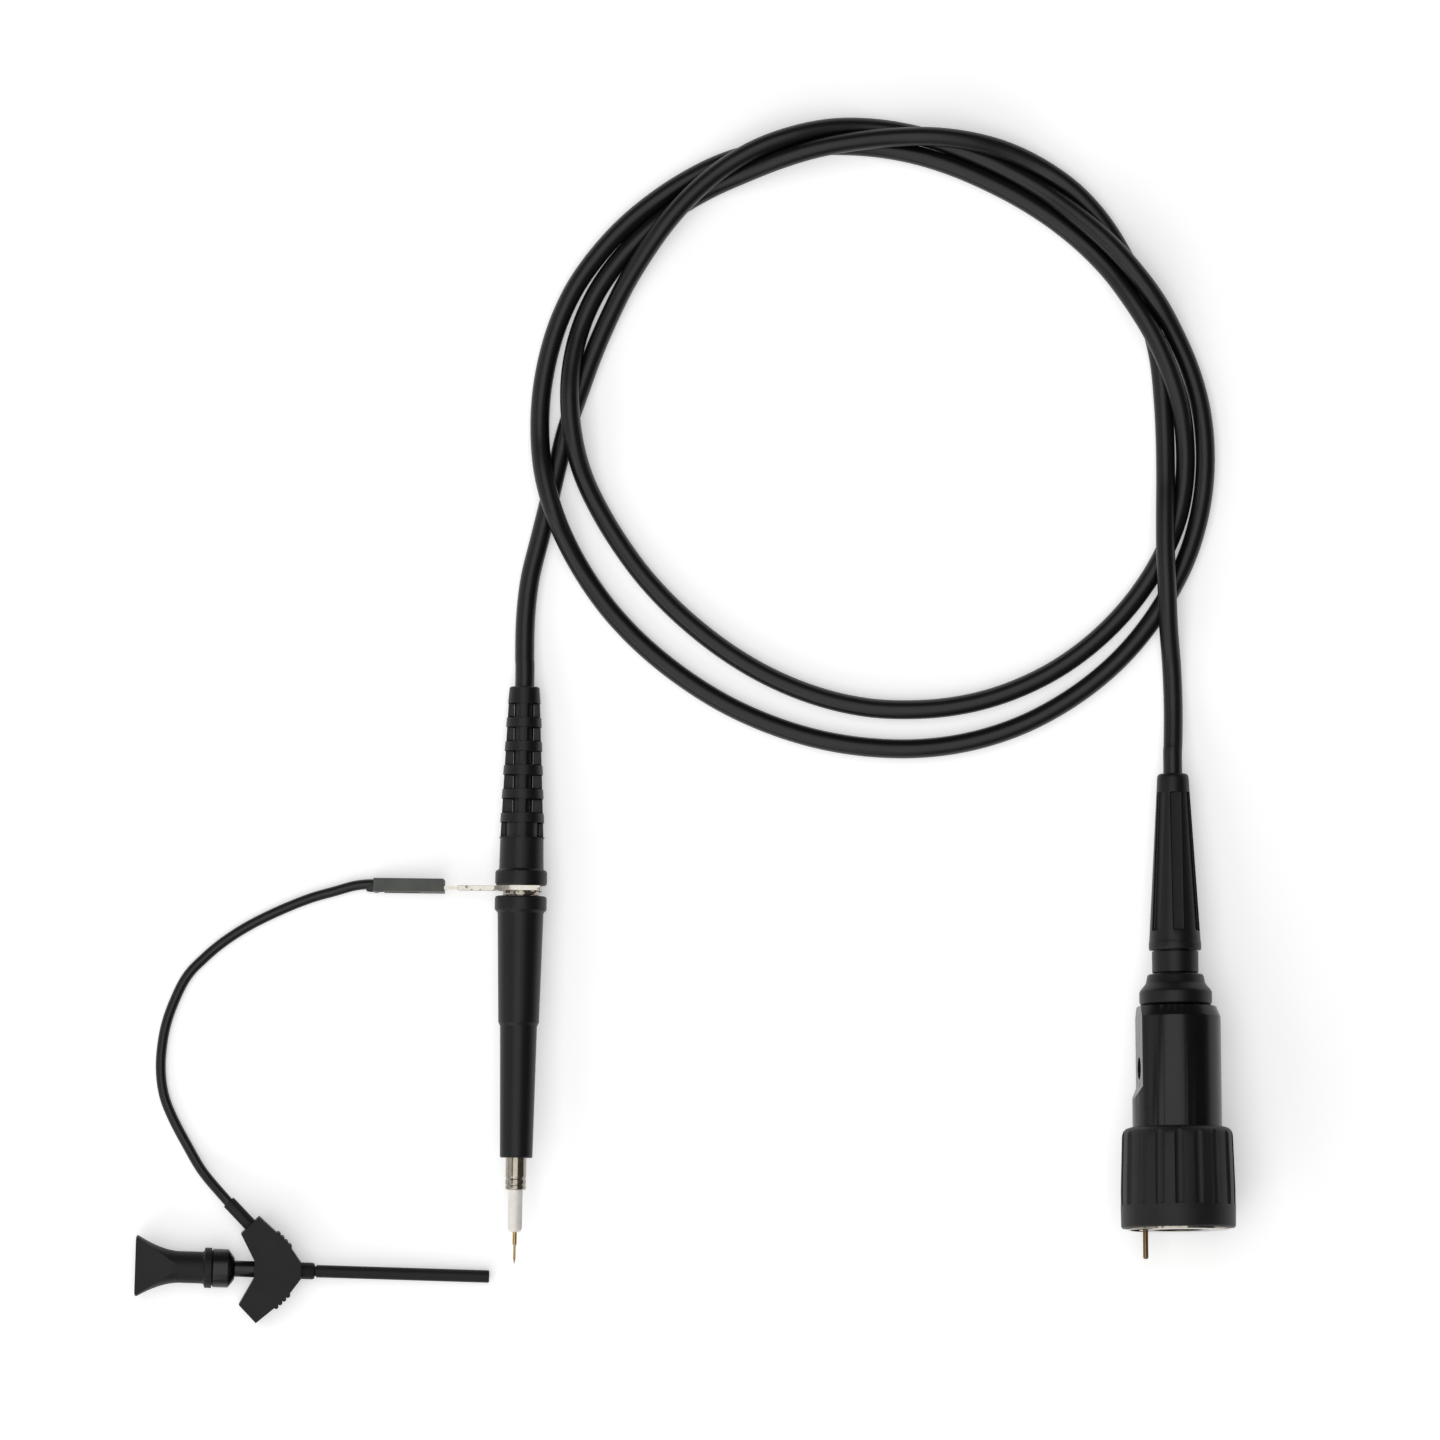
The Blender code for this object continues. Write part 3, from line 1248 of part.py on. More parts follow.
def make_nut_fixings(plug):
    """The wave washer behind the nut, the split ring that holds it and the gasket in front."""
    plate_front = HOUSING_FRONT + SEAT_GAP + FLANGE_PLATE_THICKNESS
    bore = JOURNAL_RADIUS + FIT_GAP
    journal_front = plate_front + JOURNAL_LENGTH
    middle = (plate_front + NUT_REAR) / 2
    waves, steps = 3, 36
    shape = bmesh.new()
    rings = []
    for step in range(steps):
        angle = 2 * math.pi * step / steps
        lift = middle + WASHER_WAVE * math.cos(waves * angle)
        corners = []
        for radius, side in ((bore, -1), (WASHER_RADIUS, -1), (WASHER_RADIUS, 1), (bore, 1)):
            z = lift + side * WASHER_THICKNESS / 2
            corners.append(shape.verts.new((radius * math.cos(angle), radius * math.sin(angle), z)))
        rings.append(corners)
    for index, ring in enumerate(rings):
        after = rings[(index + 1) % steps]
        for i in range(4):
            j = (i + 1) % 4
            shape.faces.new((ring[i], ring[j], after[j], after[i]))
    bmesh.ops.recalc_face_normals(shape, faces=shape.faces)
    mesh = bpy.data.meshes.new("wave_washer")
    shape.to_mesh(mesh)
    shape.free()
    finish("wave_washer", mesh, "spring_steel", plug)

    groove_middle = plate_front + RING_GROOVE_PLACE + RING_GROOVE_LENGTH / 2
    low = groove_middle - RETAINING_RING_THICKNESS / 2
    high = groove_middle + RETAINING_RING_THICKNESS / 2
    inner = JOURNAL_RADIUS - RING_GROOVE_DEPTH + FIT_GAP
    ring = turned(
        "retaining_ring",
        "spring_steel",
        plug,
        [(inner, low), (RETAINING_RING_RADIUS, low), (RETAINING_RING_RADIUS, high), (inner, high)],
    )
    gap = ((0.0, -inner / 4, low - SEAT_GAP), (2 * RETAINING_RING_RADIUS, inner / 4, high + SEAT_GAP))
    cut(ring, blocks("retaining_ring_gap", None, plug, [gap], cutter=True))

    gasket_rear = journal_front + SEAT_GAP
    gasket_front = gasket_rear + GASKET_LENGTH
    gasket_bore = FINGER_RADIUS + FIT_GAP
    turned(
        "face_gasket",
        "gasket_grey",
        plug,
        [
            (gasket_bore, gasket_rear),
            (GASKET_RADIUS, gasket_rear),
            (GASKET_RADIUS, gasket_front),
            (gasket_bore, gasket_front),
        ],
    )


def make_coupling_knob(plug):
    """The fluted knob: rounded shoulder, tapered grip with round flutes, plain band and open front."""
    lip_front = KNOB_REAR + KNOB_LIP_LENGTH
    lip_bore = HOUSING_RADIUS + TURN_GAP
    bore = NUT_DISC_RADIUS + FIT_GAP
    band_rear = KNOB_FRONT - KNOB_BAND_LENGTH
    section = [
        (lip_bore, KNOB_REAR),
        *rounded(KNOB_SHOULDER_RADIUS, KNOB_REAR, KNOB_SHOULDER_ROUND, -1, 4),
        (KNOB_RADIUS, band_rear),
        *rounded(KNOB_RADIUS, KNOB_FRONT, KNOB_EDGE_ROUND, 1, 1),
        (bore, KNOB_FRONT),
        (bore, lip_front),
        (lip_bore, lip_front),
    ]
    knob = turned("coupling_knob", "knob_black", plug, section, 2 * LARGE_SIDES)
    grip_length = band_rear - KNOB_REAR
    slope = math.atan2(KNOB_RADIUS - KNOB_SHOULDER_RADIUS, grip_length - KNOB_SHOULDER_ROUND)
    middle_radius = (KNOB_SHOULDER_RADIUS + KNOB_RADIUS) / 2 + KNOB_FLUTE_ROUND - KNOB_FLUTE_DEPTH
    places = []
    for flute in range(KNOB_FLUTES):
        angle = math.radians(KNOB_FLUTE_PLACE + 360.0 * flute / KNOB_FLUTES)
        places.append(
            Matrix.Rotation(angle, 4, "Z")
            @ Matrix.Translation((middle_radius, 0.0, KNOB_REAR + grip_length / 2))
            @ Matrix.Rotation(slope, 4, "Y")
        )
    cut(knob, rods("knob_flutes", plug, places, KNOB_FLUTE_ROUND, grip_length, SMALL_SIDES))


def make_readout(plug):
    """The sprung readout pin in its barrel, seated in the flange plate."""
    x, y = readout_place()
    frame = child_frame("readout_frame", plug, Matrix.Translation((x, y, 0.0)))
    plate_front = HOUSING_FRONT + SEAT_GAP + FLANGE_PLATE_THICKNESS
    barrel_rear = plate_front + SEAT_GAP
    spigot_rear = plate_front - READOUT_SPIGOT_LENGTH
    bore = READOUT_BARREL_RADIUS - READOUT_BARREL_WALL
    floor = barrel_rear + READOUT_BARREL_WALL * 2
    front_wall = READOUT_BARREL_FRONT - READOUT_BARREL_WALL
    mouth = READOUT_PIN_RADIUS + FIT_GAP / 2
    turned(
        "readout_barrel",
        "nickel",
        frame,
        [
            (0.0, spigot_rear),
            (READOUT_SPIGOT_RADIUS, spigot_rear),
            (READOUT_SPIGOT_RADIUS, barrel_rear),
            (READOUT_BARREL_RADIUS, barrel_rear),
            (READOUT_BARREL_RADIUS, READOUT_BARREL_FRONT),
            (mouth, READOUT_BARREL_FRONT),
            (mouth, front_wall),
            (bore, front_wall),
            (bore, floor),
            (0.0, floor),
        ],
        SMALL_SIDES,
    )
    head_front = READOUT_HEAD_REAR + READOUT_HEAD_LENGTH
    turned(
        "readout_pin",
        "gold",
        frame,
        [
            (0.0, READOUT_HEAD_REAR),
            (READOUT_HEAD_RADIUS, READOUT_HEAD_REAR),
            (READOUT_HEAD_RADIUS, head_front),
            (READOUT_PIN_RADIUS, head_front),
            *rounded(READOUT_PIN_RADIUS, READOUT_PIN_FRONT, READOUT_PIN_RADIUS / 2, 1, 2),
            (0.0, READOUT_PIN_FRONT),
        ],
        FINE_SIDES,
    )
    clear = 2 * READOUT_SPRING_WIRE
    coil = coil_points(bore - clear, floor + clear, READOUT_HEAD_REAR - clear, turns=6)
    wire("readout_spring", "spring_steel", frame, coil, READOUT_SPRING_WIRE, 1)


def make_ground_fork(fork):
    """The sheet fork round the shield tube's neck, its narrow root and the square pin."""
    inner = SHIELD_NECK_RADIUS + FIT_GAP
    half = FORK_WIDTH / 2
    root = FORK_ROOT_WIDTH / 2
    outline = [(FORK_REACH, half), (FORK_REACH, inner)]
    for step in range(9):
        angle = math.radians(90.0 + 180.0 * step / 8)
        outline.append((inner * math.cos(angle), inner * math.sin(angle)))
    outline += [(FORK_REACH, -inner), (FORK_REACH, -half)]
    outline += [(-half / 2, -half), (-half, -half / 2), (-half - root, -root)]
    outline += [(-FORK_ROOT_REACH, -root), (-FORK_ROOT_REACH, root)]
    outline += [(-half - root, root), (-half, half / 2), (-half / 2, half)]
    made = plate("ground_fork", "nickel", fork, outline, 0.0, FORK_THICKNESS)
    middle = FORK_THICKNESS / 2
    side = SQUARE_PIN_WIDTH / 2
    pin = (
        (-FORK_ROOT_REACH - SQUARE_PIN_LENGTH, -side, middle - side),
        (-FORK_ROOT_REACH + root, side, middle + side),
    )
    cut(made, blocks("square_pin", None, fork, [pin], cutter=True), "UNION")
    made.data.materials.clear()
    made.data.materials.append(material("nickel"))


def make_socket(fork):
    """The one-way crimp housing on the square pin, with its latch window, and the contact in it."""
    socket = child_frame(
        "socket_frame",
        fork,
        Matrix.Translation((-SOCKET_REACH, 0.0, FORK_THICKNESS / 2)) @ Matrix.Rotation(-math.pi / 2, 4, "Y"),
    )
    half = SOCKET_WIDTH / 2
    cavity = half - SOCKET_WALL
    mouth = SQUARE_PIN_WIDTH / 2 + FIT_GAP
    box = ((-half, -half, 0.0), (half, half, SOCKET_LENGTH))
    housing = blocks("lead_socket_housing", "socket_grey", socket, [box])
    window_low = SOCKET_FRONT_WALL + SOCKET_CONTACT_LENGTH / 2
    cuts = {
        "socket_cavity": ((-cavity, -cavity, SOCKET_FRONT_WALL), (cavity, cavity, 2 * SOCKET_LENGTH)),
        "socket_mouth": ((-mouth, -mouth, -SOCKET_FRONT_WALL), (mouth, mouth, 2 * SOCKET_FRONT_WALL)),
        "latch_window": (
            (0.0, -LATCH_WINDOW_WIDTH / 2, window_low),
            (SOCKET_WIDTH, LATCH_WINDOW_WIDTH / 2, window_low + LATCH_WINDOW_LENGTH),
        ),
    }
    for name, box in cuts.items():
        cut(housing, blocks(name, None, socket, [box], cutter=True))
    outer = cavity - FIT_GAP
    inner = SQUARE_PIN_WIDTH / 2 + FIT_GAP
    low = SOCKET_FRONT_WALL + FIT_GAP
    high = low + SOCKET_CONTACT_LENGTH
    box = ((-outer, -outer, low), (outer, outer, high))
    contact = blocks("lead_socket_contact", "nickel", socket, [box])
    bore = ((-inner, -inner, low - SEAT_GAP), (inner, inner, high + SEAT_GAP))
    cut(contact, blocks("socket_contact_bore", None, socket, [bore], cutter=True))
    return socket


def make_plunger(clip):
    """The flared thumb cap with its sloping flats, and the collar with the stem that slides in the body."""
    flare = []
    for step in range(7):
        share = step / 6
        radius = CAP_NECK_RADIUS + (CAP_END_RADIUS - CAP_NECK_RADIUS) * (1 - share) ** 2
        flare.append((radius, CAP_FLARE_LENGTH * share))
    flare[0] = (CAP_END_RADIUS, CAP_END_ROUND)
    bore = SPIGOT_RADIUS + FIT_GAP
    bore_rear = CAP_FRONT - SPIGOT_LENGTH
    ring_edge = CAP_END_ROUND
    section = [
        (0.0, 0.0),
        (CAP_END_RADIUS - CAP_END_ROUND, 0.0),
        *flare,
        (CAP_NECK_RADIUS, CAP_RING_REAR),
        (CAP_RING_RADIUS - ring_edge, CAP_RING_REAR),
        (CAP_RING_RADIUS, CAP_RING_REAR + ring_edge),
        (CAP_RING_RADIUS, CAP_FRONT),
        (bore, CAP_FRONT),
        (bore, bore_rear),
        (0.0, bore_rear),
    ]
    cap = turned("plunger_cap", "clip_black", clip, section)
    # A flat above and one below slope from the neck's top line down to the thin end.
    drop = CAP_NECK_RADIUS - CAP_END_THICKNESS / 2
    slope = drop / CAP_FLARE_LENGTH
    far = 2 * CAP_END_RADIUS
    for name, up in (("cap_flat_upper", 1), ("cap_flat_lower", -1)):
        outline = [
            (-CAP_FLARE_LENGTH, up * (CAP_END_THICKNESS / 2 - slope * CAP_FLARE_LENGTH)),
            (CAP_FLARE_LENGTH, up * CAP_NECK_RADIUS),
            (CAP_FLARE_LENGTH, up * far),
            (-CAP_FLARE_LENGTH, up * far),
        ]
        side = child_frame(f"{name}_frame", clip, Matrix.Rotation(-math.pi / 2, 4, "Y"))
        cut(cap, plate(name, None, side, outline, -far, far, cutter=True))

    collar_rear = CAP_FRONT + SEAT_GAP
    wire_bore = HOOK_WIRE_RADIUS + FIT_GAP
    turned(
        "plunger_collar",
        "plunger_black",
        clip,
        [
            (0.0, bore_rear + SEAT_GAP),
            (SPIGOT_RADIUS, bore_rear + SEAT_GAP),
            (SPIGOT_RADIUS, collar_rear),
            (COLLAR_BAND_RADIUS, collar_rear),
            (COLLAR_BAND_RADIUS, COLLAR_BAND_FRONT),
            (COLLAR_CONE_RADIUS, COLLAR_CONE_FRONT),
            (STEM_RADIUS, COLLAR_CONE_FRONT),
            (STEM_RADIUS, STEM_FRONT),
            (wire_bore, STEM_FRONT),
            (wire_bore, STEM_FRONT - HOOK_SEAT_DEPTH),
            (0.0, STEM_FRONT - HOOK_SEAT_DEPTH),
        ],
    )
    bend_front = TUBE_FRONT - HOOK_SETBACK - HOOK_WIRE_RADIUS
    points = [(0.0, 0.0, STEM_FRONT - HOOK_SEAT_DEPTH + SEAT_GAP), (0.0, 0.0, bend_front - 2 * HOOK_RETURN)]
    points.append((-HOOK_OFFSET, 0.0, bend_front - HOOK_RETURN))
    for step in range(5):
        angle = math.radians(180.0 - 180.0 * step / 4)
        rise = HOOK_OFFSET * math.sin(angle)
        points.append((HOOK_OFFSET * math.cos(angle), 0.0, bend_front - HOOK_OFFSET + rise))
    points.append((HOOK_OFFSET, 0.0, bend_front - HOOK_RETURN))
    wire("hook_wire", "spring_steel", clip, points, HOOK_WIRE_RADIUS, 1)


def body_outline():
    """The chevron's outline, as (x, z) points from the nose to the right, with half-round grip ribs."""
    shoulder, tip = Vector(BODY_SHOULDER), Vector(BODY_ARM_TIP)
    along = (Vector(BODY_RIB_END) - shoulder).normalized()
    outward = Vector((-along.y, along.x))
    half = [Vector((BODY_NOSE_WIDTH / 2, BODY_NOSE)), shoulder]
    for rib in range(RIB_COUNT):
        middle = shoulder + along * (RIB_INSET + RIB_PITCH * rib)
        for step in range(4):
            angle = math.radians(180.0 - 60.0 * step)
            offset = along * math.cos(angle) + outward * math.sin(angle)
            half.append(middle + RIB_RADIUS * offset)
    half += [Vector(BODY_RIB_END), tip, Vector(BODY_ARM_BACK), Vector((BODY_NOTCH_WIDTH / 2, BODY_NOTCH))]
    other = [Vector((-place.x, place.y)) for place in reversed(half)]
    return [tuple(place) for place in half + other]


def make_clip_body(clip):
    """The chevron finger grip with its nozzle boss, stem bore and the socket for the lead's sleeve."""
    side = child_frame("clip_body_frame", clip, Matrix.Rotation(math.pi / 2, 4, "X"))
    outline = [(x, z) for x, z in body_outline()]
    body = plate("clip_body", "clip_black", side, outline, -BODY_THICKNESS / 2, BODY_THICKNESS / 2)
    body.data.materials.clear()
    body.data.materials.append(material("clip_black"))
    boss_section = [
        (0.0, BODY_BORE_DEPTH),
        (BOSS_RADIUS, BODY_BORE_DEPTH),
        (BOSS_RADIUS, BOSS_FRONT),
        (0.0, BOSS_FRONT),
    ]
    cut(body, turned("nozzle_boss", None, clip, boss_section, SMALL_SIDES, cutter=True), "UNION")
    stem_bore = STEM_RADIUS + FIT_GAP
    tube_bore = TUBE_SPIGOT_RADIUS + FIT_GAP
    bore_section = [
        (0.0, 0.0),
        (stem_bore, 0.0),
        (stem_bore, BODY_BORE_DEPTH),
        (NOSE_BORE_RADIUS, BODY_BORE_DEPTH),
        (NOSE_BORE_RADIUS, BOSS_BORE_DEPTH),
        (tube_bore, BOSS_BORE_DEPTH),
        (tube_bore, 2 * BOSS_FRONT),
        (0.0, 2 * BOSS_FRONT),
    ]
    cut(body, turned("clip_bore", None, clip, bore_section, SMALL_SIDES, cutter=True))
    sleeve = child_frame("sleeve_frame", clip, sleeve_place())
    contact_bore = CLIP_CONTACT_RADIUS + FIT_GAP
    contact_floor = SLEEVE_DEPTH + CLIP_CONTACT_LENGTH + 2 * SEAT_GAP
    socket_section = [
        (0.0, -SLEEVE_LENGTH),
        (SLEEVE_RADIUS + FIT_GAP, -SLEEVE_LENGTH),
        (SLEEVE_RADIUS + FIT_GAP, SLEEVE_DEPTH),
        (contact_bore, SLEEVE_DEPTH),
        (contact_bore, contact_floor),
        (0.0, contact_floor),
    ]
    cut(body, turned("sleeve_socket", None, sleeve, socket_section, SMALL_SIDES, cutter=True))
    return sleeve


def sleeve_place():
    """The frame of the lead's sleeve: at the middle of one arm's end, with Z into the arm."""
    tip, back = Vector(BODY_ARM_TIP), Vector(BODY_ARM_BACK)
    middle = (tip + back) / 2
    across = (tip - back).normalized()
    inward = Vector((-across.y, across.x))
    angle = math.atan2(inward.x, inward.y)
    return Matrix.Translation((middle.x, 0.0, middle.y)) @ Matrix.Rotation(angle, 4, "Y")


def make_clip_details(clip, sleeve):
    """The nose tube, the return spring, the sleeve on the lead and the contact behind it."""
    tube_rear = BOSS_FRONT + SEAT_GAP
    turned(
        "clip_tube",
        "clip_black",
        clip,
        [
            (TUBE_BORE, tube_rear - TUBE_SPIGOT_LENGTH),
            (TUBE_SPIGOT_RADIUS, tube_rear - TUBE_SPIGOT_LENGTH),
            (TUBE_SPIGOT_RADIUS, tube_rear),
            (TUBE_RADIUS, tube_rear),
            (TUBE_RADIUS, TUBE_FRONT),
            (TUBE_BORE, TUBE_FRONT),
        ],
        SMALL_SIDES,
    )
    clear = 1.5 * CLIP_SPRING_WIRE
    coil_radius = STEM_RADIUS - CLIP_SPRING_WIRE
    coil = coil_points(coil_radius, STEM_FRONT + clear, BODY_BORE_DEPTH - clear, CLIP_SPRING_TURNS)
    wire("clip_spring", "spring_steel", clip, coil, CLIP_SPRING_WIRE, 1)
    bore = WIRE_RADIUS + FIT_GAP / 2
    turned(
        "clip_sleeve",
        "clip_black",
        sleeve,
        [
            (bore, -SLEEVE_LENGTH),
            (SLEEVE_END_RADIUS, -SLEEVE_LENGTH),
            (SLEEVE_RADIUS, -SLEEVE_LENGTH + SLEEVE_RADIUS),
            (SLEEVE_RADIUS, SLEEVE_DEPTH - SEAT_GAP),
            (bore, SLEEVE_DEPTH - SEAT_GAP),
        ],
        SMALL_SIDES,
    )
    turned(
        "clip_contact",
        "gold",
        sleeve,
        [
            (0.0, SLEEVE_DEPTH),
            (CLIP_CONTACT_RADIUS, SLEEVE_DEPTH),
            (CLIP_CONTACT_RADIUS, SLEEVE_DEPTH + CLIP_CONTACT_LENGTH),
            (0.0, SLEEVE_DEPTH + CLIP_CONTACT_LENGTH),
        ],
        FINE_SIDES,
    )


def on_axis(frame, *places):
    """World points on an assembly's axis, at distances along it."""
    return [frame.matrix_world @ Vector((0.0, 0.0, place)) for place in places]


def make_cords(head, plug, socket, sleeve):
    """The main cable between the boots and the thin wire of the ground lead."""
    bpy.context.view_layer.update()
    route = on_axis(head, CABLE_END_IN_HEAD, CABLE_END_IN_HEAD / 2, 0.002, -0.004)
    route += [Vector(place) for place in CABLE_ROUTE]
    route += on_axis(plug, -0.004, 0.002, CABLE_END_IN_PLUG / 2, CABLE_END_IN_PLUG)
    wire("main_cable", "cable_black", None, smooth_path(route, CABLE_POINTS, CABLE_RADIUS), CABLE_RADIUS)
    route = on_axis(socket, SOCKET_LENGTH - WIRE_END_IN_SOCKET, SOCKET_LENGTH - 0.002, SOCKET_LENGTH + 0.001)
    route += [Vector(place) for place in WIRE_ROUTE]
    route += on_axis(sleeve, -SLEEVE_LENGTH - 0.001, -SLEEVE_LENGTH + 0.001, SLEEVE_DEPTH - SEAT_GAP)
    wire("lead_wire", "cable_black", None, smooth_path(route, WIRE_POINTS, WIRE_RADIUS), WIRE_RADIUS)


def build():
    head = axis_frame("head_frame", HEAD_REAR, HEAD_HEADING, HEAD_PITCH)
    plug = axis_frame("connector_frame", CONNECTOR_REAR, CONNECTOR_HEADING, CONNECTOR_PITCH, CONNECTOR_ROLL)
    clip = axis_frame("clip_frame", CLIP_REAR, CLIP_HEADING, CLIP_PITCH)
    fork_matrix = Matrix.Translation((0.0, 0.0, FORK_REAR))
    fork_matrix = fork_matrix @ Matrix.Rotation(math.radians(FORK_DROOP), 4, "Z")
    fork = child_frame("fork_frame", head, fork_matrix)

    make_cable_boot(head)
    make_head_ferrule(head)
    make_shield_tube(head)
    make_front_barrel(head)
    make_ground_ring(head)
    make_tip(head)
    make_head_circuit(head)

    make_connector_boot(plug)
    make_neck_and_collar(plug)
    make_compensation_housing(plug)
    make_compensation_circuit(plug)
    make_connector_body(plug)
    make_contacts(plug)
    make_nut(plug)
    make_nut_fixings(plug)
    make_coupling_knob(plug)
    make_readout(plug)

    make_ground_fork(fork)
    socket = make_socket(fork)
    make_plunger(clip)
    sleeve = make_clip_body(clip)
    make_clip_details(clip, sleeve)
    make_cords(head, plug, socket, sleeve)


build()
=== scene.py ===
# %% [markdown]
# # An oscilloscope probe on a white table
#
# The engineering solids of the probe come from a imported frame. Each cell below either remodels one visible
# piece more finely, or gives a finish to one that stays. Everything is in metres in the frame, but each small
# piece is first modelled in millimetres along its own axis and then put in its place, as on a lathe.

import json
import math

import bpy
from mathutils import Matrix, Vector


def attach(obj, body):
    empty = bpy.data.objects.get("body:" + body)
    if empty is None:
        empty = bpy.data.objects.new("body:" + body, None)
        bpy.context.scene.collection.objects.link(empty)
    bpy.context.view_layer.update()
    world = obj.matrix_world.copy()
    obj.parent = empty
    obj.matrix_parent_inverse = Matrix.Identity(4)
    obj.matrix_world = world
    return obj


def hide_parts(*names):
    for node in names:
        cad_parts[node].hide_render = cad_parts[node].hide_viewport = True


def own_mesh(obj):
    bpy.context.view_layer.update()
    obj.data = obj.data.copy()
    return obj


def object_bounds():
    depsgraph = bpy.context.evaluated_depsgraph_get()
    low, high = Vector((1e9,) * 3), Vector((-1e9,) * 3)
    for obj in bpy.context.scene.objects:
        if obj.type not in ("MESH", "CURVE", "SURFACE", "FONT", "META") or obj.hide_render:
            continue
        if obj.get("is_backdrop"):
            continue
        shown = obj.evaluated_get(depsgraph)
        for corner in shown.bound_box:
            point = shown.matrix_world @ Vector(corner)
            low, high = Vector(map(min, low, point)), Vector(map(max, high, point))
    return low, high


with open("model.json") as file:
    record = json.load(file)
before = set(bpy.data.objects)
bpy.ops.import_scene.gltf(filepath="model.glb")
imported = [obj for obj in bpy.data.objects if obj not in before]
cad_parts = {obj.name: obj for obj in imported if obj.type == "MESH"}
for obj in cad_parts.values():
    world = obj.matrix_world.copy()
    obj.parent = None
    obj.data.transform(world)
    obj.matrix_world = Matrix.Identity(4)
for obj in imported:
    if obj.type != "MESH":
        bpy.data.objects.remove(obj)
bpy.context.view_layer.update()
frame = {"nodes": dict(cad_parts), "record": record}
nodes = frame["nodes"]

# %% [markdown]
# ## Camera
# The photograph was taken from straight above with a long lens, so the rims of round pieces show almost no
# perspective. A camera 2.2 m up with a narrow angle gives the same flat drawing.

# %% Camera
camera_data = bpy.data.cameras.new("overhead_camera")
camera_data.sensor_fit = "HORIZONTAL"
camera_data.angle = 2 * math.atan(0.1422 / 2.2)
camera_data.clip_start = 0.1
camera_data.clip_end = 20
camera = bpy.data.objects.new("overhead_camera", camera_data)
bpy.context.scene.collection.objects.link(camera)
camera.location = (0.0071, 0.0563, 2.2)
bpy.context.scene.camera = camera
print("view angle:", round(math.degrees(camera_data.angle), 2), "degrees")

# %% [markdown]
# ## Places
# The probe has three straight assemblies: the head, the connector and the hook clip. Each has an axis that
# runs forwards from its rear end. A matrix holds that place, so that every piece can be modelled upright at
# the origin. The ground lead's fork, its crimp housing and the clip's sleeve get places of their own.

# %% Assembly axes
MM = Matrix.Scale(0.001, 4)


def turn(degrees, axis):
    return Matrix.Rotation(math.radians(degrees), 4, axis)


def shift(x, y, z):
    return Matrix.Translation((x, y, z))


def axis_place(rear, heading, pitch, roll=0.0):
    return shift(*rear) @ turn(heading, "Z") @ turn(90.0 - pitch, "X") @ turn(roll, "Z") @ MM


HEAD = axis_place((-0.03143, 0.06281, 0.00303), -0.98, 3.28)
PLUG = axis_place((0.09635, 0.04566, 0.004465), 0.52, 5.13, -6.0)
CLIP = axis_place((-0.10817, -0.05122, 0.00461), 88.1, -2.45)
FORK = HEAD @ shift(0, 0, 39.4) @ turn(7.5, "Z")
SOCKET = FORK @ shift(-15.3, 0, 0.4) @ turn(-90, "Y")
READOUT = PLUG @ shift(8.6 * math.cos(math.radians(229)), 8.6 * math.sin(math.radians(229)), 0)
TRIMMER = PLUG @ shift(0.7, 0, 58.1) @ turn(-90, "Y")
arm_tip, arm_back = Vector((10.47, 24.1)), Vector((7.0, 20.65))
arm_across = (arm_tip - arm_back).normalized()
arm_middle = (arm_tip + arm_back) / 2
SLEEVE = (
    CLIP
    @ shift(arm_middle.x, 0, arm_middle.y)
    @ Matrix.Rotation(math.atan2(-arm_across.y, arm_across.x), 4, "Y")
)
print("head points along", [round(c, 3) for c in (HEAD.to_3x3() @ Vector((0, 0, 1000)))])
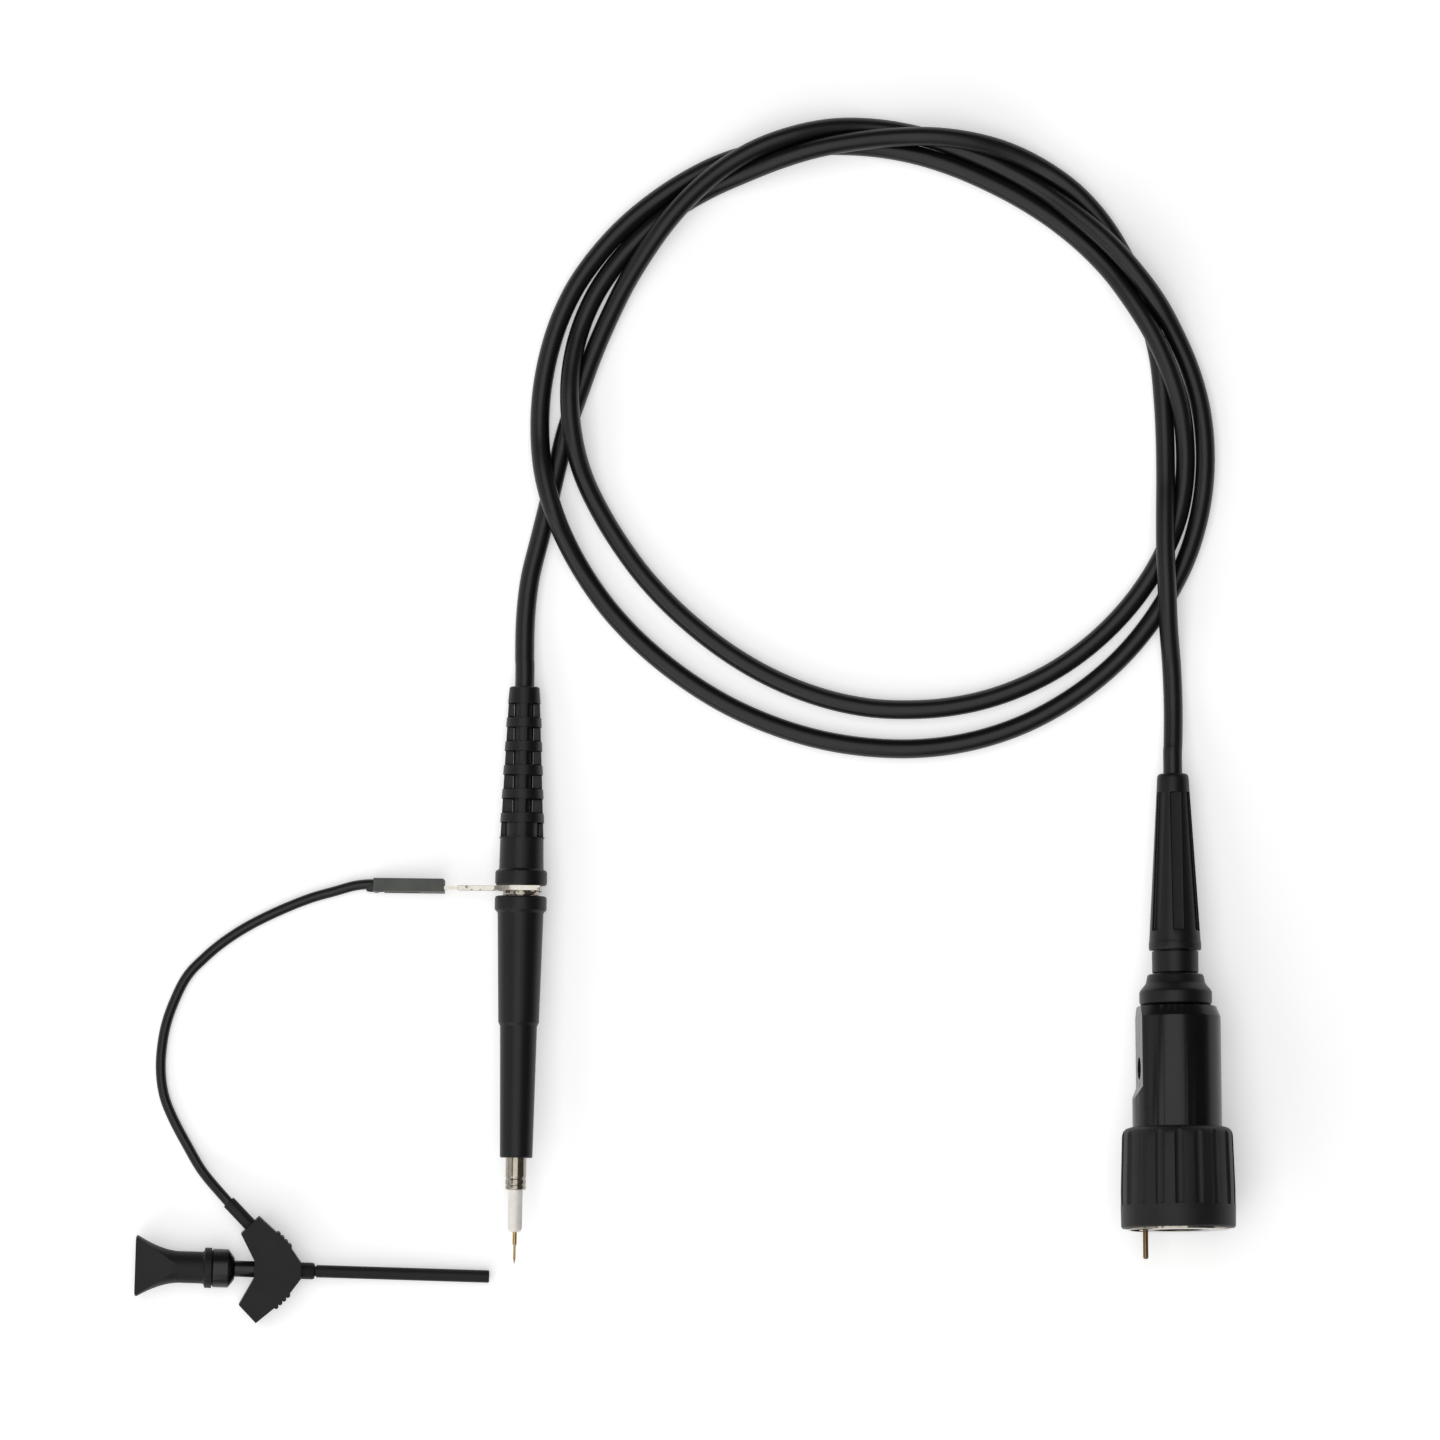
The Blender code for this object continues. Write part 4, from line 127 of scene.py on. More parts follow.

# %% [markdown]
# ## Two cords
# The coaxial cable is 3.8 mm thick and lies in two and a half turns, from the probe's boot to the connector's
# boot. It passes over itself in low humps. The thin lead wire runs from the crimp housing to the clip. A
# smooth line through listed points keeps the relaxed curves of the real cable. A curve object draws that
# line, its bevel gives the round section, and the result is turned into a mesh tube.

# %% Routes of the cords
CABLE_ROUTE = (
    (-0.03144, 0.06901, 0.00254),
    (-0.03125, 0.07663, 0.00192),
    (-0.03037, 0.08422, 0.00190),
    (-0.02855, 0.09165, 0.00190),
    (-0.02670, 0.09908, 0.00190),
    (-0.02495, 0.10653, 0.00190),
    (-0.02308, 0.11394, 0.00190),
    (-0.02058, 0.12117, 0.00190),
    (-0.01796, 0.12836, 0.00190),
    (-0.01493, 0.13539, 0.00190),
    (-0.01155, 0.14220, 0.00260),
    (-0.00764, 0.14852, 0.00439),
    (-0.00320, 0.15463, 0.00554),
    (0.00198, 0.16026, 0.00564),
    (0.00788, 0.16512, 0.00550),
    (0.01449, 0.16895, 0.00546),
    (0.02164, 0.17156, 0.00483),
    (0.02902, 0.17304, 0.00347),
    (0.03654, 0.17315, 0.00217),
    (0.04411, 0.17209, 0.00190),
    (0.05148, 0.17007, 0.00190),
    (0.05859, 0.16724, 0.00190),
    (0.06545, 0.16386, 0.00192),
    (0.07197, 0.15995, 0.00268),
    (0.07795, 0.15544, 0.00426),
    (0.08360, 0.15044, 0.00544),
    (0.08874, 0.14479, 0.00569),
    (0.09328, 0.13872, 0.00473),
    (0.09688, 0.13226, 0.00278),
    (0.09991, 0.12531, 0.00191),
    (0.10195, 0.11794, 0.00190),
    (0.10283, 0.11035, 0.00190),
    (0.10263, 0.10270, 0.00190),
    (0.10135, 0.09516, 0.00190),
    (0.09901, 0.08789, 0.00190),
    (0.09558, 0.08106, 0.00190),
    (0.09139, 0.07465, 0.00190),
    (0.08644, 0.06883, 0.00190),
    (0.08074, 0.06373, 0.00190),
    (0.07446, 0.05937, 0.00190),
    (0.06770, 0.05578, 0.00190),
    (0.06054, 0.05312, 0.00190),
    (0.05309, 0.05140, 0.00190),
    (0.04548, 0.05064, 0.00190),
    (0.03783, 0.05080, 0.00190),
    (0.03024, 0.05174, 0.00190),
    (0.02280, 0.05349, 0.00190),
    (0.01557, 0.05600, 0.00190),
    (0.00862, 0.05920, 0.00190),
    (0.00205, 0.06312, 0.00190),
    (-0.00412, 0.06763, 0.00190),
    (-0.00985, 0.07270, 0.00190),
    (-0.01499, 0.07836, 0.00190),
    (-0.01942, 0.08459, 0.00203),
    (-0.02308, 0.09114, 0.00345),
    (-0.02586, 0.09797, 0.00548),
    (-0.02774, 0.10527, 0.00469),
    (-0.02842, 0.11261, 0.00267),
    (-0.02814, 0.12020, 0.00191),
    (-0.02685, 0.12774, 0.00190),
    (-0.02461, 0.13505, 0.00190),
    (-0.02129, 0.14194, 0.00190),
    (-0.01686, 0.14816, 0.00190),
    (-0.01167, 0.15378, 0.00190),
    (-0.00578, 0.15866, 0.00190),
    (0.00062, 0.16285, 0.00190),
    (0.00748, 0.16622, 0.00190),
    (0.01481, 0.16839, 0.00190),
    (0.02239, 0.16940, 0.00190),
    (0.03003, 0.16965, 0.00190),
    (0.03767, 0.16923, 0.00190),
    (0.04520, 0.16792, 0.00190),
    (0.05252, 0.16570, 0.00190),
    (0.05957, 0.16273, 0.00190),
    (0.06636, 0.15922, 0.00190),
    (0.07280, 0.15508, 0.00190),
    (0.07876, 0.15029, 0.00193),
    (0.08402, 0.14485, 0.00294),
    (0.08839, 0.13885, 0.00479),
    (0.09238, 0.13238, 0.00558),
    (0.09557, 0.12545, 0.00528),
    (0.09787, 0.11831, 0.00384),
    (0.09887, 0.11090, 0.00225),
    (0.09875, 0.10327, 0.00190),
    (0.09732, 0.09577, 0.00190),
    (0.09439, 0.08871, 0.00190),
    (0.09044, 0.08216, 0.00190),
    (0.08562, 0.07623, 0.00190),
    (0.08005, 0.07099, 0.00190),
    (0.07383, 0.06654, 0.00190),
    (0.06705, 0.06302, 0.00190),
    (0.05985, 0.06043, 0.00190),
    (0.05237, 0.05888, 0.00190),
    (0.04474, 0.05833, 0.00190),
    (0.03710, 0.05864, 0.00190),
    (0.02958, 0.06004, 0.00190),
    (0.02231, 0.06239, 0.00190),
    (0.01535, 0.06558, 0.00190),
    (0.00880, 0.06952, 0.00190),
    (0.00268, 0.07411, 0.00190),
    (-0.00300, 0.07924, 0.00190),
    (-0.00815, 0.08489, 0.00190),
    (-0.01267, 0.09106, 0.00190),
    (-0.01664, 0.09760, 0.00193),
    (-0.01985, 0.10443, 0.00300),
    (-0.02174, 0.11153, 0.00511),
    (-0.02253, 0.11909, 0.00546),
    (-0.02210, 0.12651, 0.00372),
    (-0.02035, 0.13377, 0.00214),
    (-0.01721, 0.14073, 0.00190),
    (-0.01284, 0.14700, 0.00190),
    (-0.00755, 0.15251, 0.00190),
    (-0.00152, 0.15722, 0.00190),
    (0.00508, 0.16107, 0.00201),
    (0.01199, 0.16408, 0.00329),
    (0.01896, 0.16676, 0.00494),
    (0.02625, 0.16892, 0.00565),
    (0.03378, 0.17029, 0.00562),
    (0.04138, 0.17110, 0.00547),
    (0.04903, 0.17123, 0.00561),
    (0.05659, 0.17035, 0.00490),
    (0.06381, 0.16841, 0.00335),
    (0.07061, 0.16517, 0.00206),
    (0.07683, 0.16075, 0.00190),
    (0.08204, 0.15516, 0.00190),
    (0.08620, 0.14874, 0.00190),
    (0.08958, 0.14188, 0.00190),
    (0.09198, 0.13462, 0.00190),
    (0.09373, 0.12718, 0.00190),
    (0.09452, 0.11957, 0.00190),
    (0.09492, 0.11193, 0.00190),
    (0.09501, 0.10432, 0.00259),
    (0.09488, 0.09690, 0.00444),
    (0.09488, 0.08936, 0.00565),
    (0.09518, 0.08171, 0.00566),
    (0.09556, 0.07426, 0.00407),
    (0.09620, 0.06689, 0.00216),
    (0.09651, 0.05927, 0.00211),
    (0.09642, 0.05178, 0.00363),
)
WIRE_ROUTE = (
    (-0.0614, 0.0239, 0.0014),
    (-0.0649, 0.0236, 0.0013),
    (-0.0689, 0.0225, 0.0011),
    (-0.0738, 0.0211, 0.0009),
    (-0.0798, 0.0187, 0.0009),
    (-0.0857, 0.0158, 0.0009),
    (-0.0906, 0.0127, 0.0009),
    (-0.0946, 0.0094, 0.0009),
    (-0.0981, 0.0057, 0.0009),
    (-0.1007, 0.0006, 0.0009),
    (-0.1025, -0.0049, 0.0009),
    (-0.1033, -0.0114, 0.0009),
    (-0.1028, -0.0171, 0.0009),
    (-0.1011, -0.0219, 0.0009),
    (-0.0980, -0.0278, 0.0011),
    (-0.0949, -0.0329, 0.0020),
)


def on_axis(place, *distances):
    return [place @ Vector((0, 0, distance)) for distance in distances]


def smooth_route(route, lowest, steps=5):
    """Points of a Catmull-Rom curve through the route, never under the lowest height."""
    route = [Vector(point) for point in route]
    ends = [2 * route[0] - route[1], *route, 2 * route[-1] - route[-2]]
    points = []
    for a, b, c, d in zip(ends, ends[1:], ends[2:], ends[3:]):
        for step in range(steps):
            t = step / steps
            points.append(0.5 * (2 * b + (c - a) * t + (2 * a - 5 * b + 4 * c - d) * t * t + (3 * b - a - 3 * c + d) * t**3))
    points.append(route[-1])
    for point in points:
        point.z = max(point.z, lowest)
    return points


def cord_piece(name, points, radius, sides=6):
    curve = bpy.data.curves.new(name, "CURVE")
    curve.dimensions = "3D"
    curve.bevel_depth = radius
    curve.bevel_resolution = sides
    curve.use_fill_caps = True
    spline = curve.splines.new("POLY")
    spline.points.add(len(points) - 1)
    for point, place in zip(spline.points, points):
        point.co = (*place, 1.0)
    spline.use_smooth = True
    piece = bpy.data.objects.new(name, curve)
    bpy.context.scene.collection.objects.link(piece)
    bpy.ops.object.select_all(action="DESELECT")
    piece.select_set(True)
    bpy.context.view_layer.objects.active = piece
    bpy.ops.object.convert(target="MESH")
    bpy.ops.object.shade_smooth()
    length = sum((b - a).length for a, b in zip(points, points[1:]))
    print(name, round(1000 * length), "mm,", len(piece.data.polygons), "faces")
    return piece, length


cable_points = smooth_route(
    on_axis(HEAD, 29, 14.5, 2, -4) + list(CABLE_ROUTE) + on_axis(PLUG, -4, 2, 10, 20), 0.0019
)
cable, cable_length = cord_piece("coax_cable", cable_points, 0.0019)
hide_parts("main_cable")
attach(cable, "probe")
wire_points = smooth_route(
    on_axis(SOCKET, 7.3, 12, 15) + list(WIRE_ROUTE) + on_axis(SLEEVE, -7.2, -5.2, 1.7), 0.001, 8
)
wire, wire_length = cord_piece("ground_wire", wire_points, 0.001)
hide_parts("lead_wire")
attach(wire, "ground_lead")

# %% [markdown]
# ## Finishes
# Most of the probe is black, yet no two blacks match: the boots are satin and slightly green, the housing is
# glossy, the knob has a fine spark-eroded grain. So one helper builds a moulded plastic from a base colour,
# a cloudy colour variation, a roughness that varies a little, and a fine bump, all in Object coordinates.

# %% Moulded plastic


def blank_material(name):
    made = bpy.data.materials.new(name)
    made.use_nodes = True
    return made, made.node_tree.nodes, made.node_tree.links, made.node_tree.nodes["Principled BSDF"]


def noise_node(nodes_of, links, coordinates, scale, detail=3.0):
    made = nodes_of.new("ShaderNodeTexNoise")
    made.inputs["Scale"].default_value = scale
    made.inputs["Detail"].default_value = detail
    links.new(coordinates, made.inputs["Vector"])
    return made


def moulded(name, colour, rough, spread=0.06, grain=9000, bump=0.06, depth=0.00002, shine=0.5):
    made, tree, links, shader = blank_material(name)
    object_space = tree.new("ShaderNodeTexCoord").outputs["Object"]
    cloud = noise_node(tree, links, object_space, 160)
    ramp = tree.new("ShaderNodeValToRGB")
    ramp.color_ramp.elements[0].position = 0.3
    ramp.color_ramp.elements[0].color = (*[c * 0.82 for c in colour], 1)
    ramp.color_ramp.elements[1].position = 0.7
    ramp.color_ramp.elements[1].color = (*[min(1, c * 1.15) for c in colour], 1)
    links.new(cloud.outputs["Fac"], ramp.inputs["Fac"])
    links.new(ramp.outputs["Color"], shader.inputs["Base Color"])
    fine = noise_node(tree, links, object_space, grain, 2.0)
    sheen = tree.new("ShaderNodeMapRange")
    sheen.inputs["To Min"].default_value = rough - spread
    sheen.inputs["To Max"].default_value = rough + spread
    links.new(fine.outputs["Fac"], sheen.inputs["Value"])
    links.new(sheen.outputs["Result"], shader.inputs["Roughness"])
    relief = tree.new("ShaderNodeBump")
    relief.inputs["Strength"].default_value = bump
    relief.inputs["Distance"].default_value = depth
    links.new(fine.outputs["Fac"], relief.inputs["Height"])
    links.new(relief.outputs["Normal"], shader.inputs["Normal"])
    shader.inputs["Specular IOR Level"].default_value = shine
    return made


FINISH = {
    "cable_black": moulded("extruded_cable_jacket", (0.0045, 0.005, 0.0045), 0.36, 0.05, 5200, 0.10, shine=0.36),
    "boot_black": moulded("satin_boot_moulding", (0.0048, 0.0055, 0.005), 0.42, 0.05, 9000, 0.10, shine=0.3),
    "gloss_black": moulded("glossy_housing_moulding", (0.003, 0.0035, 0.0033), 0.27, 0.015, 700, 0.01, shine=0.31),
    "knob_black": moulded("eroded_grain_moulding", (0.0105, 0.011, 0.0105), 0.5, 0.05, 14000, 0.15, shine=0.28),
    "clip_black": moulded("matte_clip_moulding", (0.0105, 0.0107, 0.0102), 0.5, 0.06, 9000, 0.12, shine=0.22),
    "plunger_black": moulded("shiny_collar_moulding", (0.005, 0.0052, 0.005), 0.3, 0.03, 3000, 0.03, shine=0.36),
    "socket_grey": moulded("grey_housing_moulding", (0.08, 0.085, 0.075), 0.5, 0.05, 8000, 0.1, shine=0.4),
    "tip_white": moulded("white_insulator", (0.97, 0.88, 0.81), 0.35, 0.05, 6000, 0.05),
    "board_green": moulded("circuit_board", (0.02, 0.11, 0.05), 0.4, 0.08, 3000, 0.1),
    "ceramic_blue": moulded("glazed_ceramic", (0.16, 0.24, 0.34), 0.3, 0.05, 2500, 0.05),
    "contact_plastic": moulded("white_fluoropolymer", (0.8, 0.8, 0.77), 0.4, 0.05, 5000, 0.05),
    "gasket_grey": moulded("grey_rubber", (0.1, 0.1, 0.1), 0.7, 0.06, 7000, 0.2),
}
print("plastics:", len(FINISH))

# %% [markdown]
# Plated metal needs fine turning marks rather than clouds. A noise stretched along one direction breaks up the
# reflection a little, and a second, coarser one dulls it in patches, as fingerprints and plating do.

# %% Plated metal


def plated(name, colour, rough, scratch=2600, bump=0.05):
    made, tree, links, shader = blank_material(name)
    object_space = tree.new("ShaderNodeTexCoord").outputs["Object"]
    shader.inputs["Metallic"].default_value = 1.0
    patches = noise_node(tree, links, object_space, 700)
    tint = tree.new("ShaderNodeValToRGB")
    tint.color_ramp.elements[0].position = 0.35
    tint.color_ramp.elements[0].color = (*[c * 0.85 for c in colour], 1)
    tint.color_ramp.elements[1].position = 0.65
    tint.color_ramp.elements[1].color = (*colour, 1)
    links.new(patches.outputs["Fac"], tint.inputs["Fac"])
    links.new(tint.outputs["Color"], shader.inputs["Base Color"])
    dull = tree.new("ShaderNodeMapRange")
    dull.inputs["To Min"].default_value = rough * 0.7
    dull.inputs["To Max"].default_value = rough * 1.4
    links.new(patches.outputs["Fac"], dull.inputs["Value"])
    links.new(dull.outputs["Result"], shader.inputs["Roughness"])
    stretch = tree.new("ShaderNodeMapping")
    stretch.inputs["Scale"].default_value = (0.15, 1.0, 1.0)
    links.new(object_space, stretch.inputs["Vector"])
    marks = noise_node(tree, links, stretch.outputs["Vector"], scratch, 2.0)
    relief = tree.new("ShaderNodeBump")
    relief.inputs["Strength"].default_value = bump
    relief.inputs["Distance"].default_value = 0.00002
    links.new(marks.outputs["Fac"], relief.inputs["Height"])
    links.new(relief.outputs["Normal"], shader.inputs["Normal"])
    return made


FINISH["nickel"] = plated("bright_nickel_plating", (0.54, 0.51, 0.46), 0.24)
TURNED_NICKEL = plated("turned_nickel", (0.37, 0.335, 0.28), 0.17, 3400, 0.08)
FINISH["gold"] = plated("gold_plating", (0.5, 0.34, 0.13), 0.28)
FINISH["spring_steel"] = plated("drawn_spring_steel", (0.62, 0.61, 0.6), 0.3)
for name, node in nodes.items():
    slot_name = next(p["material_slot"] for p in frame["record"]["subparts"] if p["node"] == name)
    node.data.materials.clear()
    node.data.materials.append(FINISH[slot_name])
for piece in (cable, wire):
    piece.data.materials.append(FINISH["cable_black"])
print("finishes:", len(FINISH))

# %% [markdown]
# ## Turning and finishing a piece
# Nearly every piece is round, so the main tool is a lathe: a circle is added at the first point of a section,
# and its rim is extruded and scaled from point to point. A ring's rim comes back to where it began. The other
# helpers carve with a Boolean, join, round the edges, and put the piece in its place in the frame.

# %% Lathe


def only(piece):
    bpy.ops.object.select_all(action="DESELECT")
    piece.select_set(True)
    bpy.context.view_layer.objects.active = piece


def turned(name, section, sides=96, ring=False):
    bpy.ops.object.select_all(action="DESELECT")
    radius, z = section[0]
    bpy.ops.mesh.primitive_circle_add(
        vertices=sides, radius=radius, location=(0, 0, z), fill_type="NOTHING" if ring else "NGON"
    )
    piece = bpy.context.active_object
    piece.name = name
    bpy.ops.object.transform_apply(location=True, rotation=True, scale=True)
    bpy.ops.object.mode_set(mode="EDIT")
    bpy.ops.mesh.select_mode(type="EDGE")
    bpy.ops.mesh.select_all(action="SELECT")
    for next_radius, next_z in list(section[1:]) + ([section[0]] if ring else []):
        bpy.ops.mesh.extrude_edges_move(TRANSFORM_OT_translate={"value": (0, 0, next_z - z)})
        size = next_radius / radius
        bpy.ops.transform.resize(value=(size, size, 1), center_override=(0, 0, next_z))
        radius, z = next_radius, next_z
    if not ring:
        bpy.ops.mesh.edge_face_add()
    bpy.ops.mesh.select_all(action="SELECT")
    bpy.ops.mesh.remove_doubles(threshold=0.0005)
    bpy.ops.mesh.normals_make_consistent(inside=False)
    bpy.ops.object.mode_set(mode="OBJECT")
    return piece


def block(name, low, high, bevel=0.0, segments=3):
    bpy.ops.object.select_all(action="DESELECT")
    middle = [(a + b) / 2 for a, b in zip(low, high)]
    bpy.ops.mesh.primitive_cube_add(size=1, location=middle, scale=[b - a for a, b in zip(low, high)])
    piece = bpy.context.active_object
    piece.name = name
    bpy.ops.object.transform_apply(location=True, rotation=True, scale=True)
    if bevel:
        bpy.ops.object.mode_set(mode="EDIT")
        bpy.ops.mesh.select_all(action="SELECT")
        bpy.ops.mesh.bevel(offset=bevel, segments=segments, affect="EDGES")
        bpy.ops.object.mode_set(mode="OBJECT")
    return piece


def copies(piece, places):
    """Copies of a piece at each of these matrices, joined with it into one. The first place is its own."""
    made = [piece]
    for place in places:
        copy = piece.copy()
        copy.data = piece.data.copy()
        bpy.context.scene.collection.objects.link(copy)
        copy.matrix_world = place
        made.append(copy)
    bpy.ops.object.select_all(action="DESELECT")
    for other in made:
        other.select_set(True)
    bpy.context.view_layer.objects.active = piece
    bpy.ops.object.join()
    return piece


def carve(piece, *cutters, operation="DIFFERENCE"):
    for cutter in cutters:
        only(piece)
        boolean = piece.modifiers.new("carve", "BOOLEAN")
        boolean.operation = operation
        boolean.solver = "EXACT"
        boolean.object = cutter
        bpy.ops.object.modifier_apply(modifier=boolean.name)
        bpy.data.objects.remove(cutter, do_unlink=True)
    return piece


def wedge(piece, start, arc):
    """Bisects a turned shell twice, so that only the part from start to start plus arc degrees is left."""
    only(piece)
    bpy.ops.object.mode_set(mode="EDIT")
    for degrees, keep_side in ((start, 1), (start + arc, -1)):
        bpy.ops.mesh.select_all(action="SELECT")
        across = Vector((-math.sin(math.radians(degrees)), math.cos(math.radians(degrees)), 0)) * keep_side
        bpy.ops.mesh.bisect(
            plane_co=(0, 0, 0), plane_no=across, use_fill=True, clear_inner=True, clear_outer=False, threshold=0.0001
        )
    bpy.ops.mesh.select_all(action="SELECT")
    bpy.ops.mesh.normals_make_consistent(inside=False)
    bpy.ops.object.mode_set(mode="OBJECT")
    return piece


def place(piece, matrix, node, body, slot_name, edge=0.12, angle=32, segments=2):
    only(piece)
    if edge:
        bevel = piece.modifiers.new("round_edges", "BEVEL")
        bevel.width = edge
        bevel.segments = segments
        bevel.limit_method = "ANGLE"
        bevel.angle_limit = math.radians(angle)
        bevel.harden_normals = False
        bpy.ops.object.modifier_apply(modifier=bevel.name)
    piece.matrix_world = matrix
    bpy.ops.object.transform_apply(location=True, rotation=True, scale=True)
    bpy.ops.object.shade_smooth_by_angle(angle=math.radians(38))
    even = piece.modifiers.new("even_shading", "WEIGHTED_NORMAL")
    even.keep_sharp = True
    bpy.ops.object.modifier_apply(modifier=even.name)
    piece.data.materials.clear()
    piece.data.materials.append(FINISH[slot_name])
    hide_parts(node)
    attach(piece, body)
    print(piece.name, "stands for", node, "with", len(piece.data.polygons), "faces")
    return piece


# %% [markdown]
# ## The head's boot
# The strain relief is a tapered cage: seven rings joined by four deep spines, then a plain cone and a flange.
# It is turned as one shell. One window cutter is modelled for a quarter of the first row, with its inner
# corners rounded, and copied round and along the boot.

# %% Head boot
outer = [(2.72, 0.0), (2.96, 0.22)]
for row in range(6):
    low = 3.35 + 4.71 * row
    cone = 2.96 + 0.0438 * low
    rim = cone + (0.1 if row == 0 else 0.2)
    outer += [(rim, low - 0.3), (rim, low - 0.1), (cone, low), (cone + 0.12, low + 2.7)]
    outer += [(cone + 0.32, low + 2.8), (cone + 0.32, low + 3.0)]
outer += [(4.27, 29.9), (4.37, 35.8), (4.55, 36.1), (5.0, 36.35), (5.12, 36.7), (5.12, 38.7), (4.95, 39.1), (4.7, 39.2)]
inner = [(3.35, 39.2), (3.35, 26.4), (2.05, 26.4), (2.05, 0.0)]
head_boot = turned("head_boot", outer + inner, 96, ring=True)
window = block("window", (0.65, 0.65, 3.25), (9, 9, 6.12))
bpy.ops.object.mode_set(mode="EDIT")
bpy.ops.mesh.select_all(action="DESELECT")
bpy.ops.object.mode_set(mode="OBJECT")
for edge in window.data.edges:
    ends = [window.data.vertices[v].co for v in edge.vertices]
    flat = abs(ends[0].z - ends[1].z) < 0.001
    inside = all(abs(end.x - 0.65) < 0.001 for end in ends) or all(abs(end.y - 0.65) < 0.001 for end in ends)
    edge.select = flat and inside
bpy.ops.object.mode_set(mode="EDIT")
bpy.ops.mesh.bevel(offset=0.4, segments=4, affect="EDGES")
bpy.ops.object.mode_set(mode="OBJECT")
spots = [turn(90 * quarter, "Z") @ shift(0, 0, 4.71 * row) for row in range(6) for quarter in range(4)]
carve(head_boot, copies(window, spots[1:]))


def mould_line(piece, section, degrees, arc=1.5):
    """A fine raised line along a turned piece, where the two halves of its mould met."""
    ridge = wedge(turned("ridge", section, 240, True), degrees - arc / 2, arc)
    return carve(piece, ridge, operation="UNION")


mould_line(head_boot, [(2.6, 0.4), (3.2, 0.4), (4.5, 30.4), (4.5, 35.9), (3.6, 35.9), (3.5, 26.8), (2.6, 20)], 89.0, 4.0)
place(head_boot, HEAD, "cable_boot", "probe", "boot_black", 0.1)

# %% [markdown]
# Through the last windows a dark sleeve shows: the ferrule that grips the cable. In front of the boot, the
# bare metal tube carries a toothed ring, the moulded barrel and the plated collar.

# %% Ferrule, tube and toothed ring
head_crimp = turned("head_crimp", [(2.05, 26.7), (3.3, 26.7), (3.3, 35.7), (1.2, 35.7), (1.2, 29.3), (2.05, 29.3)], 64, True)
place(head_crimp, HEAD, "head_ferrule", "probe", "cable_black", 0.15)
nose_tube = turned(
    "nose_tube",
    [(1.9, 36.0), (3.2, 36.0), (3.2, 38.9), (2.7, 38.9), (2.7, 89.3), (2.06, 89.3), (2.06, 96.6), (1.96, 96.75)]
    + [(1.96, 97.0), (2.06, 97.15), (2.06, 98.0), (1.98, 98.1), (1.98, 98.3), (2.06, 98.4), (2.06, 98.85)]
    + [(1.93, 99.1), (1.55, 99.1), (1.55, 86.0), (1.9, 86.0)],
    96,
    True,
)
place(nose_tube, HEAD, "shield_tube", "probe", "nickel", 0.05)
nose_tube.data.materials[0] = TURNED_NICKEL
toothed_ring = turned("toothed_ring", [(2.85, 40.4), (3.6, 40.4), (3.6, 41.1), (2.85, 41.1)], 96, True)
gap = block("gap", (2.5, -0.55, 40.0), (4.2, 0.55, 40.75))
carve(toothed_ring, copies(gap, [turn(45 * i, "Z") for i in range(1, 8)]))
place(toothed_ring, HEAD, "ground_ring", "probe", "nickel", 0.05)
toothed_ring.data.materials[0] = TURNED_NICKEL

# %% [markdown]
# The grip barrel is one moulding: a rounded flange, a chamfer, a long taper with a small step in it, and a thin
# nose. Its rims are rounded in the section, so the highlight runs over them softly.

# %% Grip barrel
grip_barrel = turned(
    "grip_barrel",
    [(2.85, 41.3), (4.7, 41.3), (4.98, 41.42), (5.12, 41.8), (5.12, 43.9), (5.02, 44.1), (4.62, 44.5), (4.52, 44.8)]
    + [(4.01, 66.2), (3.92, 66.32), (3.7, 66.85), (3.64, 67.0), (3.21, 92.6), (3.05, 92.8), (2.21, 92.8)]
    + [(2.21, 89.6), (2.85, 89.6)],
    128,
    True,
)
mould_line(grip_barrel, [(4.2, 45.6), (4.55, 45.6), (4.07, 66.0), (3.8, 66.0)], 86.0, 2.2)
place(grip_barrel, HEAD, "front_barrel", "probe", "boot_black", 0.06)

# %% [markdown]
# The tip: an off-white insulator with a domed end, a gold barrel and the sprung needle with its cut point.

# %% Tip
tip_sleeve = turned(
    "tip_sleeve",
    [(0.55, 84.0), (1.75, 84.0), (1.75, 85.7), (1.41, 85.7), (1.41, 106.4), (1.33, 106.85), (1.12, 107.2), (0.8, 107.4)]
    + [(0.55, 107.4)],
    64,
    True,
)
place(tip_sleeve, HEAD, "tip_insulator", "probe", "tip_white", 0.05)
gold_barrel = turned(
    "gold_barrel", [(0.42, 84.3), (0.42, 109.75), (0.37, 109.9), (0.31, 109.9), (0.31, 92.0)], 32
)
place(gold_barrel, HEAD, "tip_barrel", "probe", "gold", 0.0)
gold_needle = turned("gold_needle", [(0.24, 104.0), (0.24, 112.7), (0.06, 113.6)], 32)
place(gold_needle, HEAD, "tip_needle", "tip_needle", "gold", 0.02)

# %% [markdown]
# ## The connector's boot
# This strain relief tapers too, but has six long flutes in place of windows. The cutter for one flute is a
# rounded block, sheared so that its floor follows the cone.

# %% Connector boot
plug_boot = turned(
    "plug_boot",
    [(2.05, 0.0), (2.55, 0.0), (2.88, 0.15), (3.08, 0.5), (3.14, 1.0), (3.27, 3.4), (5.05, 32.7), (5.11, 33.2)]
    + [(5.17, 33.4), (5.17, 34.6), (5.05, 34.8), (3.75, 34.8), (3.75, 31.3), (2.75, 31.3), (2.75, 20.0), (2.05, 20.0)],
    120,
    True,
)

flute = block("flute", (-1.2, 2.62, 3.7), (1.2, 6.0, 31.1), 0.3, 3)
for vertex in flute.data.vertices:
    vertex.co.y += 0.058 * (vertex.co.z - 3.7)
flute.data.transform(turn(-1.6, "Z"))
carve(plug_boot, copies(flute, [turn(60 * i, "Z") for i in range(1, 6)]))
place(plug_boot, PLUG, "connector_boot", "probe", "boot_black", 0.08)

# %% [markdown]
# A plain neck follows, and a stepped ring that swells to the housing's width.

